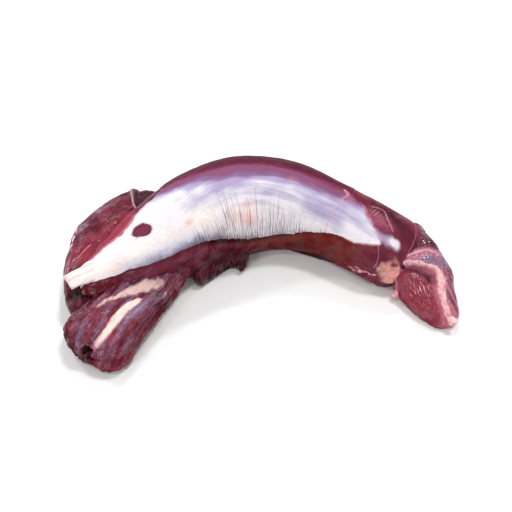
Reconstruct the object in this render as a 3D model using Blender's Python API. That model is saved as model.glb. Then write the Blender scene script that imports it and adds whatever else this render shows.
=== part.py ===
"""A whole raw beef tenderloin, untrimmed, lying in an arch on its underside.

Metres, +Z up. The long span runs along X with the head at -X and the tail at +X,
and the open side of the arch faces -Y. Every muscle is a loft along its own
centreline; the lofts are joined into one closed solid and cut flat where they rest.
"""

import bpy
import numpy as np

# ---- driving sizes, in metres ------------------------------------------------
SHIFT = (-0.0003, 0.0301, 0.0)  # moves the drawing so that the origin is the middle of the base
BLOCK_DEEP = 0.060              # how far the trimming block reaches under the resting plane
BLOCK_HALF = 0.300              # half the side of the trimming block
RIB_PITCH = 0.0075              # distance between two folds of the gathered strip
RIB_DEPTH = 0.0011
DROOPS = ((0.14, 0.09, 0.010), (0.84, 0.08, 0.011))  # place and width along the strip, and depth
DISH_DEPTH = 0.0035             # how far the tail's upper face is dished
CORD_RADIUS = 0.0030            # half thickness of a fat cord
CORD_SUNK = 0.35                # share of that radius by which the cord lies in the muscle
BAND_THICK = 0.0022             # how far the sinew band stands off the muscle under it
BAND_ROWS = 14
BAND_COLS = 12
BAND_SPAN = (-0.035, 0.26)      # share of the long muscle's run that the band covers
BAND_HALF = (0.0085, 0.021)     # half widths at its cut end and where it joins the sheath
BAND_SAG = 0.010                # how far the widest part of the band's edges hangs down
NICK_PLACE = (0.184, 92.3)      # share of the run, degrees round the section
NICK_RADII = (0.0112, 0.0062, 0.0048)
NICK_DEPTH = 0.0022             # how deep the oval nick goes through the sheath
NICK_STANDS = 0.0045            # where the nick's cutter would only touch the surface

# One row per station of a muscle, in order along its centreline:
#   x, y     where the centreline stands, seen from above
#   out, inn half widths on the outer (+Y, or left of the run) and the inner side
#   top, low heights of the crown and of the underside
#   mid      height of the widest line
#   crown    sideways place of the crown, towards the outer side
MAIN = (
    (-0.154, -0.071, 0.012, 0.012, 0.044, 0.006, 0.024, 0.000),
    (-0.137, -0.061, 0.020, 0.020, 0.053, -0.004, 0.028, -0.001),
    (-0.112, -0.042, 0.032, 0.031, 0.064, -0.008, 0.032, -0.003),
    (-0.085, -0.011, 0.037, 0.042, 0.074, -0.008, 0.035, -0.004),
    (-0.052, 0.017, 0.043, 0.049, 0.080, -0.008, 0.037, -0.002),
    (-0.012, 0.032, 0.048, 0.047, 0.082, -0.008, 0.038, 0.000),
    (0.032, 0.032, 0.043, 0.038, 0.077, -0.008, 0.038, 0.000),
    (0.070, 0.017, 0.032, 0.032, 0.070, -0.008, 0.037, 0.000),
    (0.102, -0.004, 0.035, 0.032, 0.061, -0.008, 0.034, 0.000),
    (0.124, -0.027, 0.041, 0.028, 0.051, -0.006, 0.029, 0.002),
    (0.134, -0.043, 0.040, 0.023, 0.042, -0.002, 0.023, 0.002),
)
# This one and the next run towards -Y, so their outer side faces +X.
HEAD_FLAP = (
    (-0.087, 0.064, 0.036, 0.020, 0.046, -0.008, 0.014, 0.012),
    (-0.115, 0.042, 0.046, 0.032, 0.046, -0.008, 0.010, 0.024),
    (-0.138, 0.016, 0.046, 0.035, 0.046, -0.008, 0.009, 0.024),
    (-0.149, -0.014, 0.042, 0.031, 0.044, -0.008, 0.010, 0.018),
    (-0.152, -0.044, 0.034, 0.024, 0.041, -0.008, 0.012, 0.012),
    (-0.152, -0.068, 0.026, 0.018, 0.037, -0.006, 0.014, 0.008),
    (-0.148, -0.088, 0.020, 0.018, 0.030, -0.004, 0.014, 0.004),
)
SIDE_LOBE = (
    (-0.072, -0.012, 0.016, 0.015, 0.040, -0.006, 0.018, 0.000),
    (-0.086, -0.038, 0.022, 0.015, 0.041, -0.008, 0.018, -0.002),
    (-0.105, -0.068, 0.027, 0.018, 0.041, -0.008, 0.019, -0.004),
    (-0.121, -0.094, 0.031, 0.026, 0.040, -0.008, 0.018, -0.004),
    (-0.133, -0.114, 0.033, 0.031, 0.038, -0.006, 0.016, -0.002),
    (-0.143, -0.133, 0.031, 0.022, 0.031, -0.004, 0.014, 0.000),
)
SIDE_STRIP = (
    (-0.066, -0.022, 0.012, 0.012, 0.024, -0.006, 0.011, 0.000),
    (-0.052, -0.016, 0.016, 0.019, 0.030, -0.008, 0.008, 0.006),
    (-0.036, -0.006, 0.016, 0.017, 0.031, -0.008, 0.008, 0.006),
    (-0.020, 0.000, 0.014, 0.016, 0.030, -0.006, 0.008, 0.004),
    (-0.008, 0.004, 0.010, 0.012, 0.024, -0.002, 0.008, 0.000),
)
UNDER_STRIP = (
    (-0.010, 0.014, 0.012, 0.008, 0.022, -0.004, 0.010, 0.000),
    (0.026, 0.018, 0.018, 0.012, 0.034, -0.006, 0.014, 0.003),
    (0.062, 0.008, 0.020, 0.015, 0.041, -0.006, 0.016, 0.004),
    (0.092, -0.009, 0.020, 0.015, 0.042, -0.006, 0.016, 0.004),
    (0.115, -0.028, 0.018, 0.013, 0.037, -0.006, 0.014, 0.003),
    (0.129, -0.043, 0.014, 0.010, 0.029, -0.004, 0.011, 0.000),
)
TAIL = (
    (0.128, 0.001, 0.034, 0.028, 0.042, -0.004, 0.020, 0.004),
    (0.146, -0.026, 0.026, 0.026, 0.039, -0.006, 0.017, 0.006),
    (0.154, -0.049, 0.027, 0.026, 0.032, -0.006, 0.012, 0.004),
    (0.159, -0.064, 0.022, 0.022, 0.026, -0.006, 0.010, 0.002),
    (0.166, -0.078, 0.015, 0.017, 0.020, -0.006, 0.008, 0.000),
    (0.172, -0.090, 0.008, 0.011, 0.015, -0.004, 0.007, 0.000),
)
# Round parts: centre, radii, and turn about Z in radians
ROUND_BULGE = ((-0.072, -0.030, 0.024), (0.014, 0.018, 0.019), 0.5)
LOBE_CORNER = ((-0.1195, -0.1215, 0.0100), (0.0185, 0.0205, 0.0150), -0.6)
HOLLOW = ((-0.1335, -0.1275, 0.0185), (0.0062, 0.0150, 0.0080), -0.62)
# Share along the run and angle round the section (0 outer side, 90 crown, 180 inner side)
FAT_RIM = ((0.40, 140), (0.42, 124), (0.46, 104), (0.52, 88), (0.62, 78), (0.76, 76), (0.92, 84))
FAT_BAND = ((0.37, 150), (0.35, 128), (0.34, 108), (0.36, 90), (0.40, 70), (0.50, 52))


# ---- curves and lofts ----------------------------------------------------------

def spline(knots, values, at):
    """Smooth curve through the values at the knots, read at the given places."""
    knots = np.asarray(knots, float)
    values = np.asarray(values, float)
    slopes = np.gradient(values, knots, axis=0)
    i = np.clip(np.searchsorted(knots, at, side="right") - 1, 0, len(knots) - 2)
    step = knots[i + 1] - knots[i]
    u = ((at - knots[i]) / step)[:, None]
    step = step[:, None]
    a = (1 + 2 * u) * (1 - u) ** 2
    b = u * (1 - u) ** 2
    c = u ** 2 * (3 - 2 * u)
    d = u ** 2 * (u - 1)
    return a * values[i] + b * step * slopes[i] + c * values[i + 1] + d * step * slopes[i + 1]


def run_of(stations):
    """Share of the way along a centreline at which each station stands."""
    xy = np.asarray(stations, float)[:, :2]
    steps = np.hypot(*np.diff(xy, axis=0).T)
    run = np.concatenate([[0.0], np.cumsum(steps)])
    return run / run[-1]


def end_share(s, reach):
    """Rounds off both ends: 0 at an end, 1 from the given reach inwards."""
    front = np.clip(1 - s / reach[0], 0, 1)
    back = np.clip(1 - (1 - s) / reach[1], 0, 1)
    return np.sqrt(np.clip(1 - front ** 2, 0, 1) * np.clip(1 - back ** 2, 0, 1))


def powered(value, power):
    return np.sign(value) * np.abs(value) ** power


def loft_grid(stations, rows, cols, reach=(0.1, 0.1), full=0.9):
    """Grid of points: each row is one closed egg-shaped section across the run.

    The section has four half sizes (outer, inner, up, down) about its widest line,
    joined with the superellipse power `full`; its crown may stand to one side.
    """
    u = np.linspace(0, 1, rows)
    s = u - 0.45 * np.sin(2 * np.pi * u) / (2 * np.pi)
    at = spline(run_of(stations), stations, s)
    x, y, out, inn, top, low, mid, crown = at.T
    run = np.stack([np.gradient(x, s), np.gradient(y, s)], axis=1)
    run = run / np.linalg.norm(run, axis=1, keepdims=True)
    share = end_share(s, reach)[:, None]
    angle = np.linspace(0, 2 * np.pi, cols, endpoint=False)[None, :]
    side = powered(np.cos(angle), full)
    rise = powered(np.sin(angle), full)
    width = np.where(side > 0, out[:, None], inn[:, None]) * share
    up = np.where(rise > 0, (top - mid)[:, None], (mid - low)[:, None]) * share
    lean = crown[:, None] * np.clip(rise, 0, 1) * (1 - np.abs(side)) * share
    across = side * width + lean
    return np.stack(
        [
            x[:, None] - run[:, 1:2] * across,
            y[:, None] + run[:, 0:1] * across,
            mid[:, None] + rise * up,
        ],
        axis=2,
    )


def object_of(name, points, faces):
    mesh = bpy.data.meshes.new(name)
    mesh.from_pydata(points.tolist(), [], faces)
    mesh.update()
    obj = bpy.data.objects.new(name, mesh)
    bpy.context.scene.collection.objects.link(obj)
    return obj


def closed_grid(name, grid):
    """Object from a grid of closed rows, with a single point at either end."""
    grid = grid + np.array(SHIFT)
    rows, cols = grid.shape[:2]
    first = grid[0].mean(axis=0)
    last = grid[-1].mean(axis=0)
    inner = grid[1:-1]
    points = np.concatenate([inner.reshape(-1, 3), [first, last]])
    count = rows - 2
    faces = []
    for r in range(count - 1):
        for c in range(cols):
            n = (c + 1) % cols
            faces.append((r * cols + c, r * cols + n, (r + 1) * cols + n, (r + 1) * cols + c))
    start = count * cols
    for c in range(cols):
        n = (c + 1) % cols
        faces.append((start, n, c))
        faces.append((start + 1, (count - 1) * cols + c, (count - 1) * cols + n))
    return object_of(name, points, faces)


def helper(obj):
    """Marks a shape that is only used by a Boolean."""
    obj.hide_render = True
    obj.display_type = "WIRE"
    return obj


def join(base, other, operation="UNION"):
    modifier = base.modifiers.new(operation.title() + " " + other.name, "BOOLEAN")
    modifier.operation = operation
    modifier.solver = "EXACT"
    modifier.object = helper(other)


def ellipsoid(name, centre, radii, turn=0.0, rows=14, cols=20):
    """A closed ellipsoid, turned about Z."""
    lat = np.linspace(0, np.pi, rows)[:, None]
    lon = np.linspace(0, 2 * np.pi, cols, endpoint=False)[None, :]
    x = radii[0] * np.sin(lat) * np.cos(lon)
    y = radii[1] * np.sin(lat) * np.sin(lon)
    z = -radii[2] * np.cos(lat) + 0 * lon
    c, s = np.cos(turn), np.sin(turn)
    grid = np.stack([centre[0] + c * x - s * y, centre[1] + s * x + c * y, centre[2] + z], axis=2)
    return closed_grid(name, grid)


# ---- places on a muscle ---------------------------------------------------------

def station_at(stations, s):
    return spline(run_of(stations), stations, np.atleast_1d(s))


def on_muscle(stations, s, degrees, full=0.9):
    """Points on a loft, and the directions in which its surface faces there."""
    s = np.atleast_1d(np.asarray(s, float))
    angle = np.radians(np.atleast_1d(np.asarray(degrees, float)))

    def place(s, angle):
        x, y, out, inn, top, low, mid, crown = station_at(stations, s).T
        ahead = station_at(stations, s + 1e-3) - station_at(stations, s - 1e-3)
        run = ahead[:, :2] / np.linalg.norm(ahead[:, :2], axis=1, keepdims=True)
        side = powered(np.cos(angle), full)
        rise = powered(np.sin(angle), full)
        across = side * np.where(side > 0, out, inn)
        across = across + crown * np.clip(rise, 0, 1) * (1 - np.abs(side))
        up = mid + rise * np.where(rise > 0, top - mid, mid - low)
        return np.stack([x - run[:, 1] * across, y + run[:, 0] * across, up], axis=1)

    here = place(s, angle)
    along = place(s + 1e-3, angle) - place(s - 1e-3, angle)
    round_ = place(s, angle + 1e-2) - place(s, angle - 1e-2)
    facing = np.cross(round_, along)
    facing = facing / np.linalg.norm(facing, axis=1, keepdims=True)
    turned = (facing[:, 2] < 0) & (np.sin(angle) > 0.2)
    facing[turned] = -facing[turned]
    return here, facing


def smooth_path(points, count):
    """The same number of evenly spread places on a smooth line through the points."""
    points = np.asarray(points, float)
    run = np.linspace(0, 1, len(points))
    return spline(run, points, np.linspace(0, 1, count))


def cord(name, centres, radius, cols=8):
    """A round cord along the centres, thinning to its ends."""
    rows = len(centres)
    u = np.linspace(0, 1, rows)
    along = np.gradient(centres, axis=0)
    along = along / np.linalg.norm(along, axis=1, keepdims=True)
    side = np.cross(along, [0.0, 0.0, 1.0])
    side = side / np.linalg.norm(side, axis=1, keepdims=True)
    up = np.cross(side, along)
    size = radius * np.clip(np.sin(np.pi * u), 0, 1) ** 0.35
    angle = np.linspace(0, 2 * np.pi, cols, endpoint=False)
    ring = np.cos(angle)[None, :, None] * side[:, None, :] + np.sin(angle)[None, :, None] * up[:, None, :]
    return closed_grid(name, centres[:, None, :] + size[:, None, None] * ring)


def cord_on(name, stations, places, count=18):
    """A cord of fat that lies along a line on a muscle, a little sunk into it."""
    places = smooth_path(places, count)
    here, facing = on_muscle(stations, places[:, 0], places[:, 1])
    return cord(name, here - CORD_SUNK * CORD_RADIUS * facing, CORD_RADIUS)


# ---- the muscles ---------------------------------------------------------------

def main_muscle():
    return closed_grid("tenderloin", loft_grid(MAIN, 62, 36, (0.05, 0.07), 0.9))


def head_flap():
    return closed_grid("head flap", loft_grid(HEAD_FLAP, 30, 26, (0.14, 0.16), 0.95))


def side_lobe():
    return closed_grid("side lobe", loft_grid(SIDE_LOBE, 32, 26, (0.12, 0.10), 0.85))


def side_strip():
    """The gathered strip: cross folds, and two places where its edge droops."""
    grid = loft_grid(SIDE_STRIP, 48, 18, (0.10, 0.10), 0.9)
    rows, cols = grid.shape[:2]
    middle = grid.mean(axis=1, keepdims=True)
    length = np.linalg.norm(np.diff(middle[:, 0], axis=0), axis=1).sum()
    s = np.linspace(0, 1, rows)[:, None, None]
    angle = np.linspace(0, 2 * np.pi, cols, endpoint=False)[None, :, None]
    folds = RIB_DEPTH * np.cos(2 * np.pi * s * length / RIB_PITCH)
    away = grid - middle
    size = np.maximum(np.linalg.norm(away, axis=2, keepdims=True), 1e-6)
    grid = grid + away / size * folds * np.sin(np.pi * s)
    front = np.exp(-((angle - np.pi * 1.02) / 0.75) ** 2)
    for place, width, depth in DROOPS:
        grid[:, :, 1:2] -= front * depth * np.exp(-((s - place) / width) ** 2)
    return closed_grid("side strip", grid)


def round_bulge():
    """The round bulge between the side lobe and the gathered strip."""
    return ellipsoid("round bulge", *ROUND_BULGE)


def lobe_corner():
    """The blunt corner beside the hollow, which hangs a little lower than the rest."""
    return ellipsoid("lobe corner", *LOBE_CORNER)


def under_strip():
    return closed_grid("under strip", loft_grid(UNDER_STRIP, 34, 18, (0.1, 0.1), 0.9))


def tail():
    """The tail end: its upper face is dished between a fat rim and the inner edge."""
    grid = loft_grid(TAIL, 30, 26, (0.12, 0.07), 0.72)
    rows, cols = grid.shape[:2]
    s = np.linspace(0, 1, rows)[:, None]
    angle = np.degrees(np.linspace(0, 2 * np.pi, cols, endpoint=False))[None, :]
    along = 1 / (1 + np.exp(-(s - 0.42) / 0.025)) * np.clip((1 - s) / 0.15, 0, 1)
    across = np.exp(-((angle - 112) / 48.0) ** 4)
    grid[:, :, 2] -= DISH_DEPTH * along * across
    return closed_grid("tail", grid)


def sinew_band():
    """The flat band of the sheath where it ends at the head, cut off square."""
    s = np.linspace(*BAND_SPAN, BAND_ROWS)
    here, _ = on_muscle(MAIN, s, np.full(BAND_ROWS, 88.0))
    ahead = np.gradient(here[:, :2], axis=0)
    ahead = ahead / np.linalg.norm(ahead, axis=1, keepdims=True)
    half = np.linspace(*BAND_HALF, BAND_ROWS)[:, None]
    thick = np.linspace(BAND_THICK, 0.6 * BAND_THICK, BAND_ROWS)[:, None]
    angle = np.linspace(0, 2 * np.pi, BAND_COLS, endpoint=False)[None, :]
    across = half * powered(np.cos(angle), 0.35)
    sag = BAND_SAG * (across / BAND_HALF[1]) ** 2
    z = here[:, 2:3] - sag + thick * powered(np.sin(angle), 0.5)
    x = here[:, :1] - ahead[:, 1:2] * across
    y = here[:, 1:2] + ahead[:, :1] * across
    grid = np.stack([x, y, z], axis=2)
    # a row of one repeated point at either end makes the square ends flat
    first = np.repeat(grid[:1].mean(axis=1, keepdims=True), BAND_COLS, axis=1)
    last = np.repeat(grid[-1:].mean(axis=1, keepdims=True), BAND_COLS, axis=1)
    return closed_grid("sinew band", np.concatenate([first, grid, last]))


def nick():
    """An oval place where the sheath is cut through to the muscle."""
    here, facing = on_muscle(MAIN, *NICK_PLACE)
    centre = here[0] + facing[0] * (NICK_STANDS - NICK_DEPTH)
    return ellipsoid("nick", centre, NICK_RADII, 0.5, 12, 22)


def hollow():
    """The open fold in the blunt end of the side lobe."""
    return ellipsoid("hollow", *HOLLOW, 12, 16)


def trimming_block():
    """Everything under the resting plane is cut away with it."""
    sides = (-BLOCK_HALF, BLOCK_HALF)
    corners = np.array([(x, y, z) for z in (-BLOCK_DEEP, 0.0) for y in sides for x in sides])
    faces = [(0, 2, 3, 1), (4, 5, 7, 6), (0, 1, 5, 4), (2, 6, 7, 3), (0, 4, 6, 2), (1, 3, 7, 5)]
    return object_of("trimming block", corners, faces)


def raw_meat():
    material = bpy.data.materials.new("Raw beef")
    material.use_nodes = True
    shader = material.node_tree.nodes["Principled BSDF"]
    shader.inputs["Base Color"].default_value = (0.19, 0.028, 0.036, 1.0)
    shader.inputs["Roughness"].default_value = 0.35
    material.diffuse_color = (0.45, 0.16, 0.20, 1.0)
    return material


def build():
    for obj in list(bpy.data.objects):
        bpy.data.objects.remove(obj, do_unlink=True)
    body = main_muscle()
    body.data.materials.append(raw_meat())
    pieces = (
        head_flap(),
        side_lobe(),
        side_strip(),
        round_bulge(),
        lobe_corner(),
        under_strip(),
        tail(),
        sinew_band(),
        cord_on("fat rim", TAIL, FAT_RIM),
        cord_on("fat band", TAIL, FAT_BAND),
    )
    for piece in pieces:
        join(body, piece)
    for piece in (nick(), hollow(), trimming_block()):
        join(body, piece, "DIFFERENCE")


build()
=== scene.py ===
"""The looks of a whole raw beef tenderloin, untrimmed, lying in an arch on its underside.

Every muscle is a closed surface on a grid: a loft along its own centreline, pushed in
and out by folds, bundles and lines that are measured in metres along and round it.
The same measures give each point its masks (how much silverskin, fat and sinew it has, and how
much painted shade and painted highlight), and the materials turn the masks into colour,
shininess and fine relief.
"""

import itertools

import bpy
import numpy as np
from bpy.props import FloatProperty, FloatVectorProperty, PointerProperty
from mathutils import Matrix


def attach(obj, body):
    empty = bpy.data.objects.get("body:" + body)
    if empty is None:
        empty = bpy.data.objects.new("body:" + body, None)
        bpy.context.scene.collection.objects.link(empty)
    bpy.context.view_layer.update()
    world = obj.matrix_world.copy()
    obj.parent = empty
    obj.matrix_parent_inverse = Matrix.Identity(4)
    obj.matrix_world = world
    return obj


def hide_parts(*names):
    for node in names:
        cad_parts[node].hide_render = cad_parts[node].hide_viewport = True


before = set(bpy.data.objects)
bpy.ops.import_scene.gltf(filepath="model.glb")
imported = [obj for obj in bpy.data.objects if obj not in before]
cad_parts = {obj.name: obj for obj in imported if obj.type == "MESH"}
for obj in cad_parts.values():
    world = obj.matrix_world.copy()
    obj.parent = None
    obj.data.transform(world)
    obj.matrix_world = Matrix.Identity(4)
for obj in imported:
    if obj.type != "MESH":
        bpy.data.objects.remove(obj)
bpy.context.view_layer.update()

bl_info = {
    "name": "Raw beef tenderloin",
    "version": (1, 0, 0),
    "blender": (4, 5, 0),
    "location": "3D View > Sidebar > Tenderloin",
    "description": "Builds a whole untrimmed beef tenderloin: muscles, silverskin, sinew and fat",
    "category": "Object",
}

BODY = "root"
CAD_NODE = "tenderloin"
SHIFT = np.array([-0.0003, 0.0301, 0.0])   # from the drawing's origin to the middle of the base

# ---- the muscles, in metres, one row per station along the centreline -----------------
#   x, y     where the centreline stands, seen from above
#   out, inn half widths on the outer and the inner side
#   top, low heights of the crown and of the underside
#   mid      height of the widest line
#   crown    sideways place of the crown, towards the outer side
MAIN = (
    (-0.154, -0.071, 0.012, 0.012, 0.044, 0.006, 0.024, 0.000),
    (-0.137, -0.061, 0.020, 0.020, 0.053, -0.004, 0.028, -0.001),
    (-0.112, -0.042, 0.032, 0.031, 0.064, -0.008, 0.032, -0.003),
    (-0.085, -0.011, 0.037, 0.042, 0.074, -0.008, 0.035, -0.004),
    (-0.052, 0.017, 0.043, 0.049, 0.080, -0.008, 0.037, -0.002),
    (-0.012, 0.032, 0.048, 0.047, 0.082, -0.008, 0.038, 0.000),
    (0.032, 0.032, 0.043, 0.038, 0.077, -0.008, 0.038, 0.000),
    (0.070, 0.017, 0.032, 0.032, 0.070, -0.008, 0.037, 0.000),
    (0.102, -0.004, 0.035, 0.032, 0.061, -0.008, 0.034, 0.000),
    (0.124, -0.027, 0.041, 0.028, 0.051, -0.006, 0.029, 0.002),
    (0.134, -0.043, 0.040, 0.023, 0.042, -0.002, 0.023, 0.002),
)
HEAD_FLAP = (
    (-0.087, 0.064, 0.036, 0.020, 0.046, -0.008, 0.014, 0.012),
    (-0.115, 0.042, 0.046, 0.032, 0.046, -0.008, 0.010, 0.024),
    (-0.138, 0.016, 0.046, 0.035, 0.046, -0.008, 0.009, 0.024),
    (-0.149, -0.014, 0.042, 0.031, 0.044, -0.008, 0.010, 0.018),
    (-0.152, -0.044, 0.034, 0.024, 0.041, -0.008, 0.012, 0.012),
    (-0.152, -0.068, 0.026, 0.018, 0.037, -0.006, 0.014, 0.008),
    (-0.148, -0.088, 0.020, 0.018, 0.030, -0.004, 0.014, 0.004),
)
SIDE_LOBE = (
    (-0.072, -0.012, 0.016, 0.015, 0.040, -0.006, 0.018, 0.000),
    (-0.086, -0.038, 0.022, 0.015, 0.041, -0.008, 0.018, -0.002),
    (-0.105, -0.068, 0.027, 0.018, 0.041, -0.008, 0.019, -0.004),
    (-0.121, -0.094, 0.031, 0.026, 0.040, -0.008, 0.018, -0.004),
    (-0.133, -0.114, 0.033, 0.031, 0.038, -0.006, 0.016, -0.002),
    (-0.143, -0.133, 0.031, 0.022, 0.031, -0.004, 0.014, 0.000),
)
SIDE_STRIP = (
    (-0.066, -0.022, 0.012, 0.012, 0.024, -0.006, 0.011, 0.000),
    (-0.052, -0.016, 0.016, 0.019, 0.030, -0.008, 0.008, 0.006),
    (-0.036, -0.006, 0.016, 0.017, 0.031, -0.008, 0.008, 0.006),
    (-0.020, 0.000, 0.014, 0.016, 0.030, -0.006, 0.008, 0.004),
    (-0.008, 0.004, 0.010, 0.012, 0.024, -0.002, 0.008, 0.000),
)
UNDER_STRIP = (
    (-0.010, 0.014, 0.012, 0.008, 0.022, -0.004, 0.010, 0.000),
    (0.026, 0.018, 0.018, 0.012, 0.034, -0.006, 0.014, 0.003),
    (0.062, 0.008, 0.020, 0.015, 0.041, -0.006, 0.016, 0.004),
    (0.092, -0.009, 0.020, 0.015, 0.042, -0.006, 0.016, 0.004),
    (0.115, -0.028, 0.018, 0.013, 0.037, -0.006, 0.014, 0.003),
    (0.129, -0.043, 0.014, 0.010, 0.029, -0.004, 0.011, 0.000),
)
TAIL = (
    (0.128, 0.001, 0.034, 0.028, 0.042, -0.004, 0.020, 0.004),
    (0.146, -0.026, 0.026, 0.026, 0.039, -0.006, 0.017, 0.006),
    (0.154, -0.049, 0.027, 0.026, 0.032, -0.006, 0.012, 0.004),
    (0.159, -0.064, 0.022, 0.022, 0.026, -0.006, 0.010, 0.002),
    (0.166, -0.078, 0.015, 0.017, 0.020, -0.006, 0.008, 0.000),
    (0.172, -0.090, 0.008, 0.011, 0.015, -0.004, 0.007, 0.000),
)

# round pieces and places: middle, half sizes, and the turn about Z in radians
LOBE_CORNER = ((-0.1195, -0.1215, 0.0100), (0.0185, 0.0205, 0.0150), -0.6)
ROUND_BULGE = ((-0.072, -0.030, 0.024), (0.0145, 0.0185, 0.0190), 0.5)
WEB = ((0.1185, -0.0405, 0.0195), (0.0150, 0.0085, 0.0115), -0.30)
WEB_REACH = ((0.1175, -0.0470, 0.0240), (0.0160, 0.0120, 0.0150))
LOBE_HOLLOW = ((-0.1385, -0.1345, 0.0200), (0.0072, 0.0100, 0.0085), -0.62)
HOLLOW_HEADING = (0.56, 0.79, -0.18)
HOLLOW_DEPTH = 0.011
LOBE_HEADING = np.arctan2(-0.121, -0.071)   # the way that the side lobe's fibres lie

# ---- lines on the muscles: share of the run, degrees round the section ------------------
#   (0 is the outer side, 90 the crown, 180 the inner side)
# the silverskin's lower edge, the edge where it stops, and the belts above it
SHEATH_LOW = (
    (0.00, 112), (0.02, 122), (0.04, 134), (0.055, 135), (0.08, 139), (0.108, 139), (0.136, 145),
    (0.166, 150), (0.187, 154), (0.208, 156), (0.264, 159), (0.291, 160), (0.325, 164), (0.40, 171),
    (0.492, 181),
    (0.586, 184.5), (0.679, 183), (0.746, 174), (0.795, 163), (0.835, 156), (0.874, 152), (0.903, 141.5),
    (0.927, 131), (0.953, 112), (1.0, 98),
)
SHEATH_STOP = (
    (0.00, 72), (0.055, 72), (0.089, 70.6), (0.115, 74.4), (0.141, 75.2), (0.169, 73.5), (0.196, 71.4),
    (0.218, 66), (0.232, 66), (0.265, 66.4), (0.305, 62), (0.33, 30), (0.36, -60), (0.76, -60),
    (0.785, 50), (0.804, 84), (0.822, 87), (0.845, 91), (0.858, 97), (0.872, 100), (0.894, 107),
    (0.915, 112), (0.930, 115), (0.940, 124), (0.95, 150), (1.0, 170),
)
BELT_PALE = (
    (0.00, 40), (0.20, 44), (0.27, 64), (0.31, 86), (0.343, 95.6), (0.416, 101), (0.487, 105.6),
    (0.563, 110), (0.637, 111), (0.713, 109), (0.765, 102), (0.80, 99), (0.845, 99), (0.872, 105),
    (0.915, 113), (1.0, 118),
)
BELT_LILAC = (
    (0.00, 30), (0.20, 34), (0.27, 48), (0.31, 68), (0.357, 79), (0.395, 83.5), (0.459, 88), (0.524, 91),
    (0.603, 90), (0.656, 88.5), (0.711, 87), (0.766, 84), (0.80, 82), (0.845, 84), (0.872, 90),
    (0.915, 98), (1.0, 104),
)
BELT_MAUVE = (
    (0.00, 20), (0.20, 24), (0.27, 38), (0.31, 56), (0.36, 64), (0.408, 69), (0.467, 75), (0.527, 80),
    (0.602, 76), (0.675, 74.4), (0.755, 69), (0.80, 60), (0.845, 62), (0.872, 66), (1.0, 70),
)
NICK = (
    (0.158, 89), (0.172, 84.8), (0.190, 85.6), (0.200, 89.4), (0.202, 96.5), (0.197, 102.7),
    (0.187, 106), (0.175, 103), (0.162, 95.6),
)
NICK_TAIL = ((0.160, 97), (0.152, 102), (0.147, 107))
PINK_VEIN = (
    (0.776, 79), (0.790, 86), (0.785, 95), (0.787, 106), (0.781, 122), (0.778, 140), (0.776, 154),
    (0.778, 165),
)
BARE_VEIN = ((0.852, 79), (0.864, 73.5), (0.879, 71.5), (0.899, 79.5), (0.918, 86), (0.933, 89.5))
# the strip of silverskin at its end, where a highlight and a lilac sheen round it are painted
HIGHLIGHT_STRIP = ((0.905, 116), (0.932, 111), (0.950, 102), (0.964, 94), (0.973, 86))
END_LINE = (
    (0.89, 15), (0.918, 30), (0.932, 38), (0.949, 50), (0.963, 60), (0.978, 73), (0.988, 86.5), (0.994, 100),
)

FLAP_RIDGE = ((0.12, 165), (0.15, 152), (0.177, 140), (0.231, 117), (0.285, 101), (0.307, 90), (0.31, 60))
FLAP_VEIN = ((0.746, 128.6), (0.706, 117.3), (0.652, 107.3))
FLAP_EDGE = ((0.46, 150), (0.504, 148), (0.537, 155), (0.60, 148), (0.66, 138), (0.72, 138), (0.80, 138))
LOBE_SINEW = (
    (0.955, 68), (0.941, 68), (0.879, 65.2), (0.805, 64.3), (0.727, 63.9), (0.661, 62.7), (0.584, 56),
    (0.55, 52),
)
LOBE_FASCIA = ((0.74, 97), (0.681, 92), (0.617, 82.7), (0.555, 76.4), (0.473, 64), (0.390, 48.5), (0.328, 46))
NUB = (0.395, 14, 0.0055, 0.0040)      # a small pale lump low on the lobe, with its length and width
FOOT_VEIN = ((0.934, 124), (0.939, 127), (0.950, 136), (0.958, 146), (0.962, 164), (0.958, 178))
FOOT_FRINGE = ((0.872, 204), (0.902, 199), (0.937, 195), (0.972, 191))
RIM_HIGH = ((0.395, 146), (0.383, 131.5), (0.378, 114), (0.380, 100), (0.384, 91.5), (0.406, 84), (0.45, 72))
RIM_LOW = (
    (0.417, 134), (0.430, 123), (0.471, 104), (0.513, 94.4), (0.558, 87), (0.596, 83.5), (0.691, 82.3),
    (0.768, 88.5), (0.844, 91), (0.923, 96.5), (0.99, 112),
)
FACE_TOP = ((0.425, 142), (0.439, 132), (0.485, 114), (0.562, 98), (0.66, 90))
FACE_EDGE = ((0.426, 150), (0.434, 156), (0.457, 172), (0.51, 176), (0.578, 203))


# ---- numbers ------------------------------------------------------------------------------

TABLE_SIZE = 509    # random shares in a table: more than there are folds, and prime

def linear(colour):
    """An sRGB hex colour as the linear values that shaders use."""
    srgb = np.array([int(colour[i:i + 2], 16) for i in (1, 3, 5)]) / 255
    return tuple(np.where(srgb <= 0.04045, srgb / 12.92, ((srgb + 0.055) / 1.055) ** 2.4).tolist())


def spline(knots, values, at):
    """Smooth curve through the values at the knots: cubic pieces that share their slopes."""
    knots, values = np.asarray(knots, float), np.asarray(values, float)
    slopes = np.gradient(values, knots, axis=0)
    i = np.clip(np.searchsorted(knots, at, side="right") - 1, 0, len(knots) - 2)
    step = (knots[i + 1] - knots[i])[:, None]
    u = ((at - knots[i]) / step[:, 0])[:, None]
    ahead = u ** 2 * (3 - 2 * u)
    return (
        (1 - ahead) * values[i] + ahead * values[i + 1]
        + u * (1 - u) ** 2 * step * slopes[i] + u ** 2 * (u - 1) * step * slopes[i + 1]
    )


def step(low, high, value):
    """0 below low and 1 above high, with a smooth rise between them."""
    u = np.clip((value - low) / (high - low), 0, 1)
    return u * u * (3 - 2 * u)


def bell(value, width):
    """1 at zero, falling off to either side within about the width."""
    return np.exp(-(value / width) ** 2)


def powered(value, power):
    """A power that keeps the sign."""
    return np.sign(value) * np.abs(value) ** power


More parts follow.
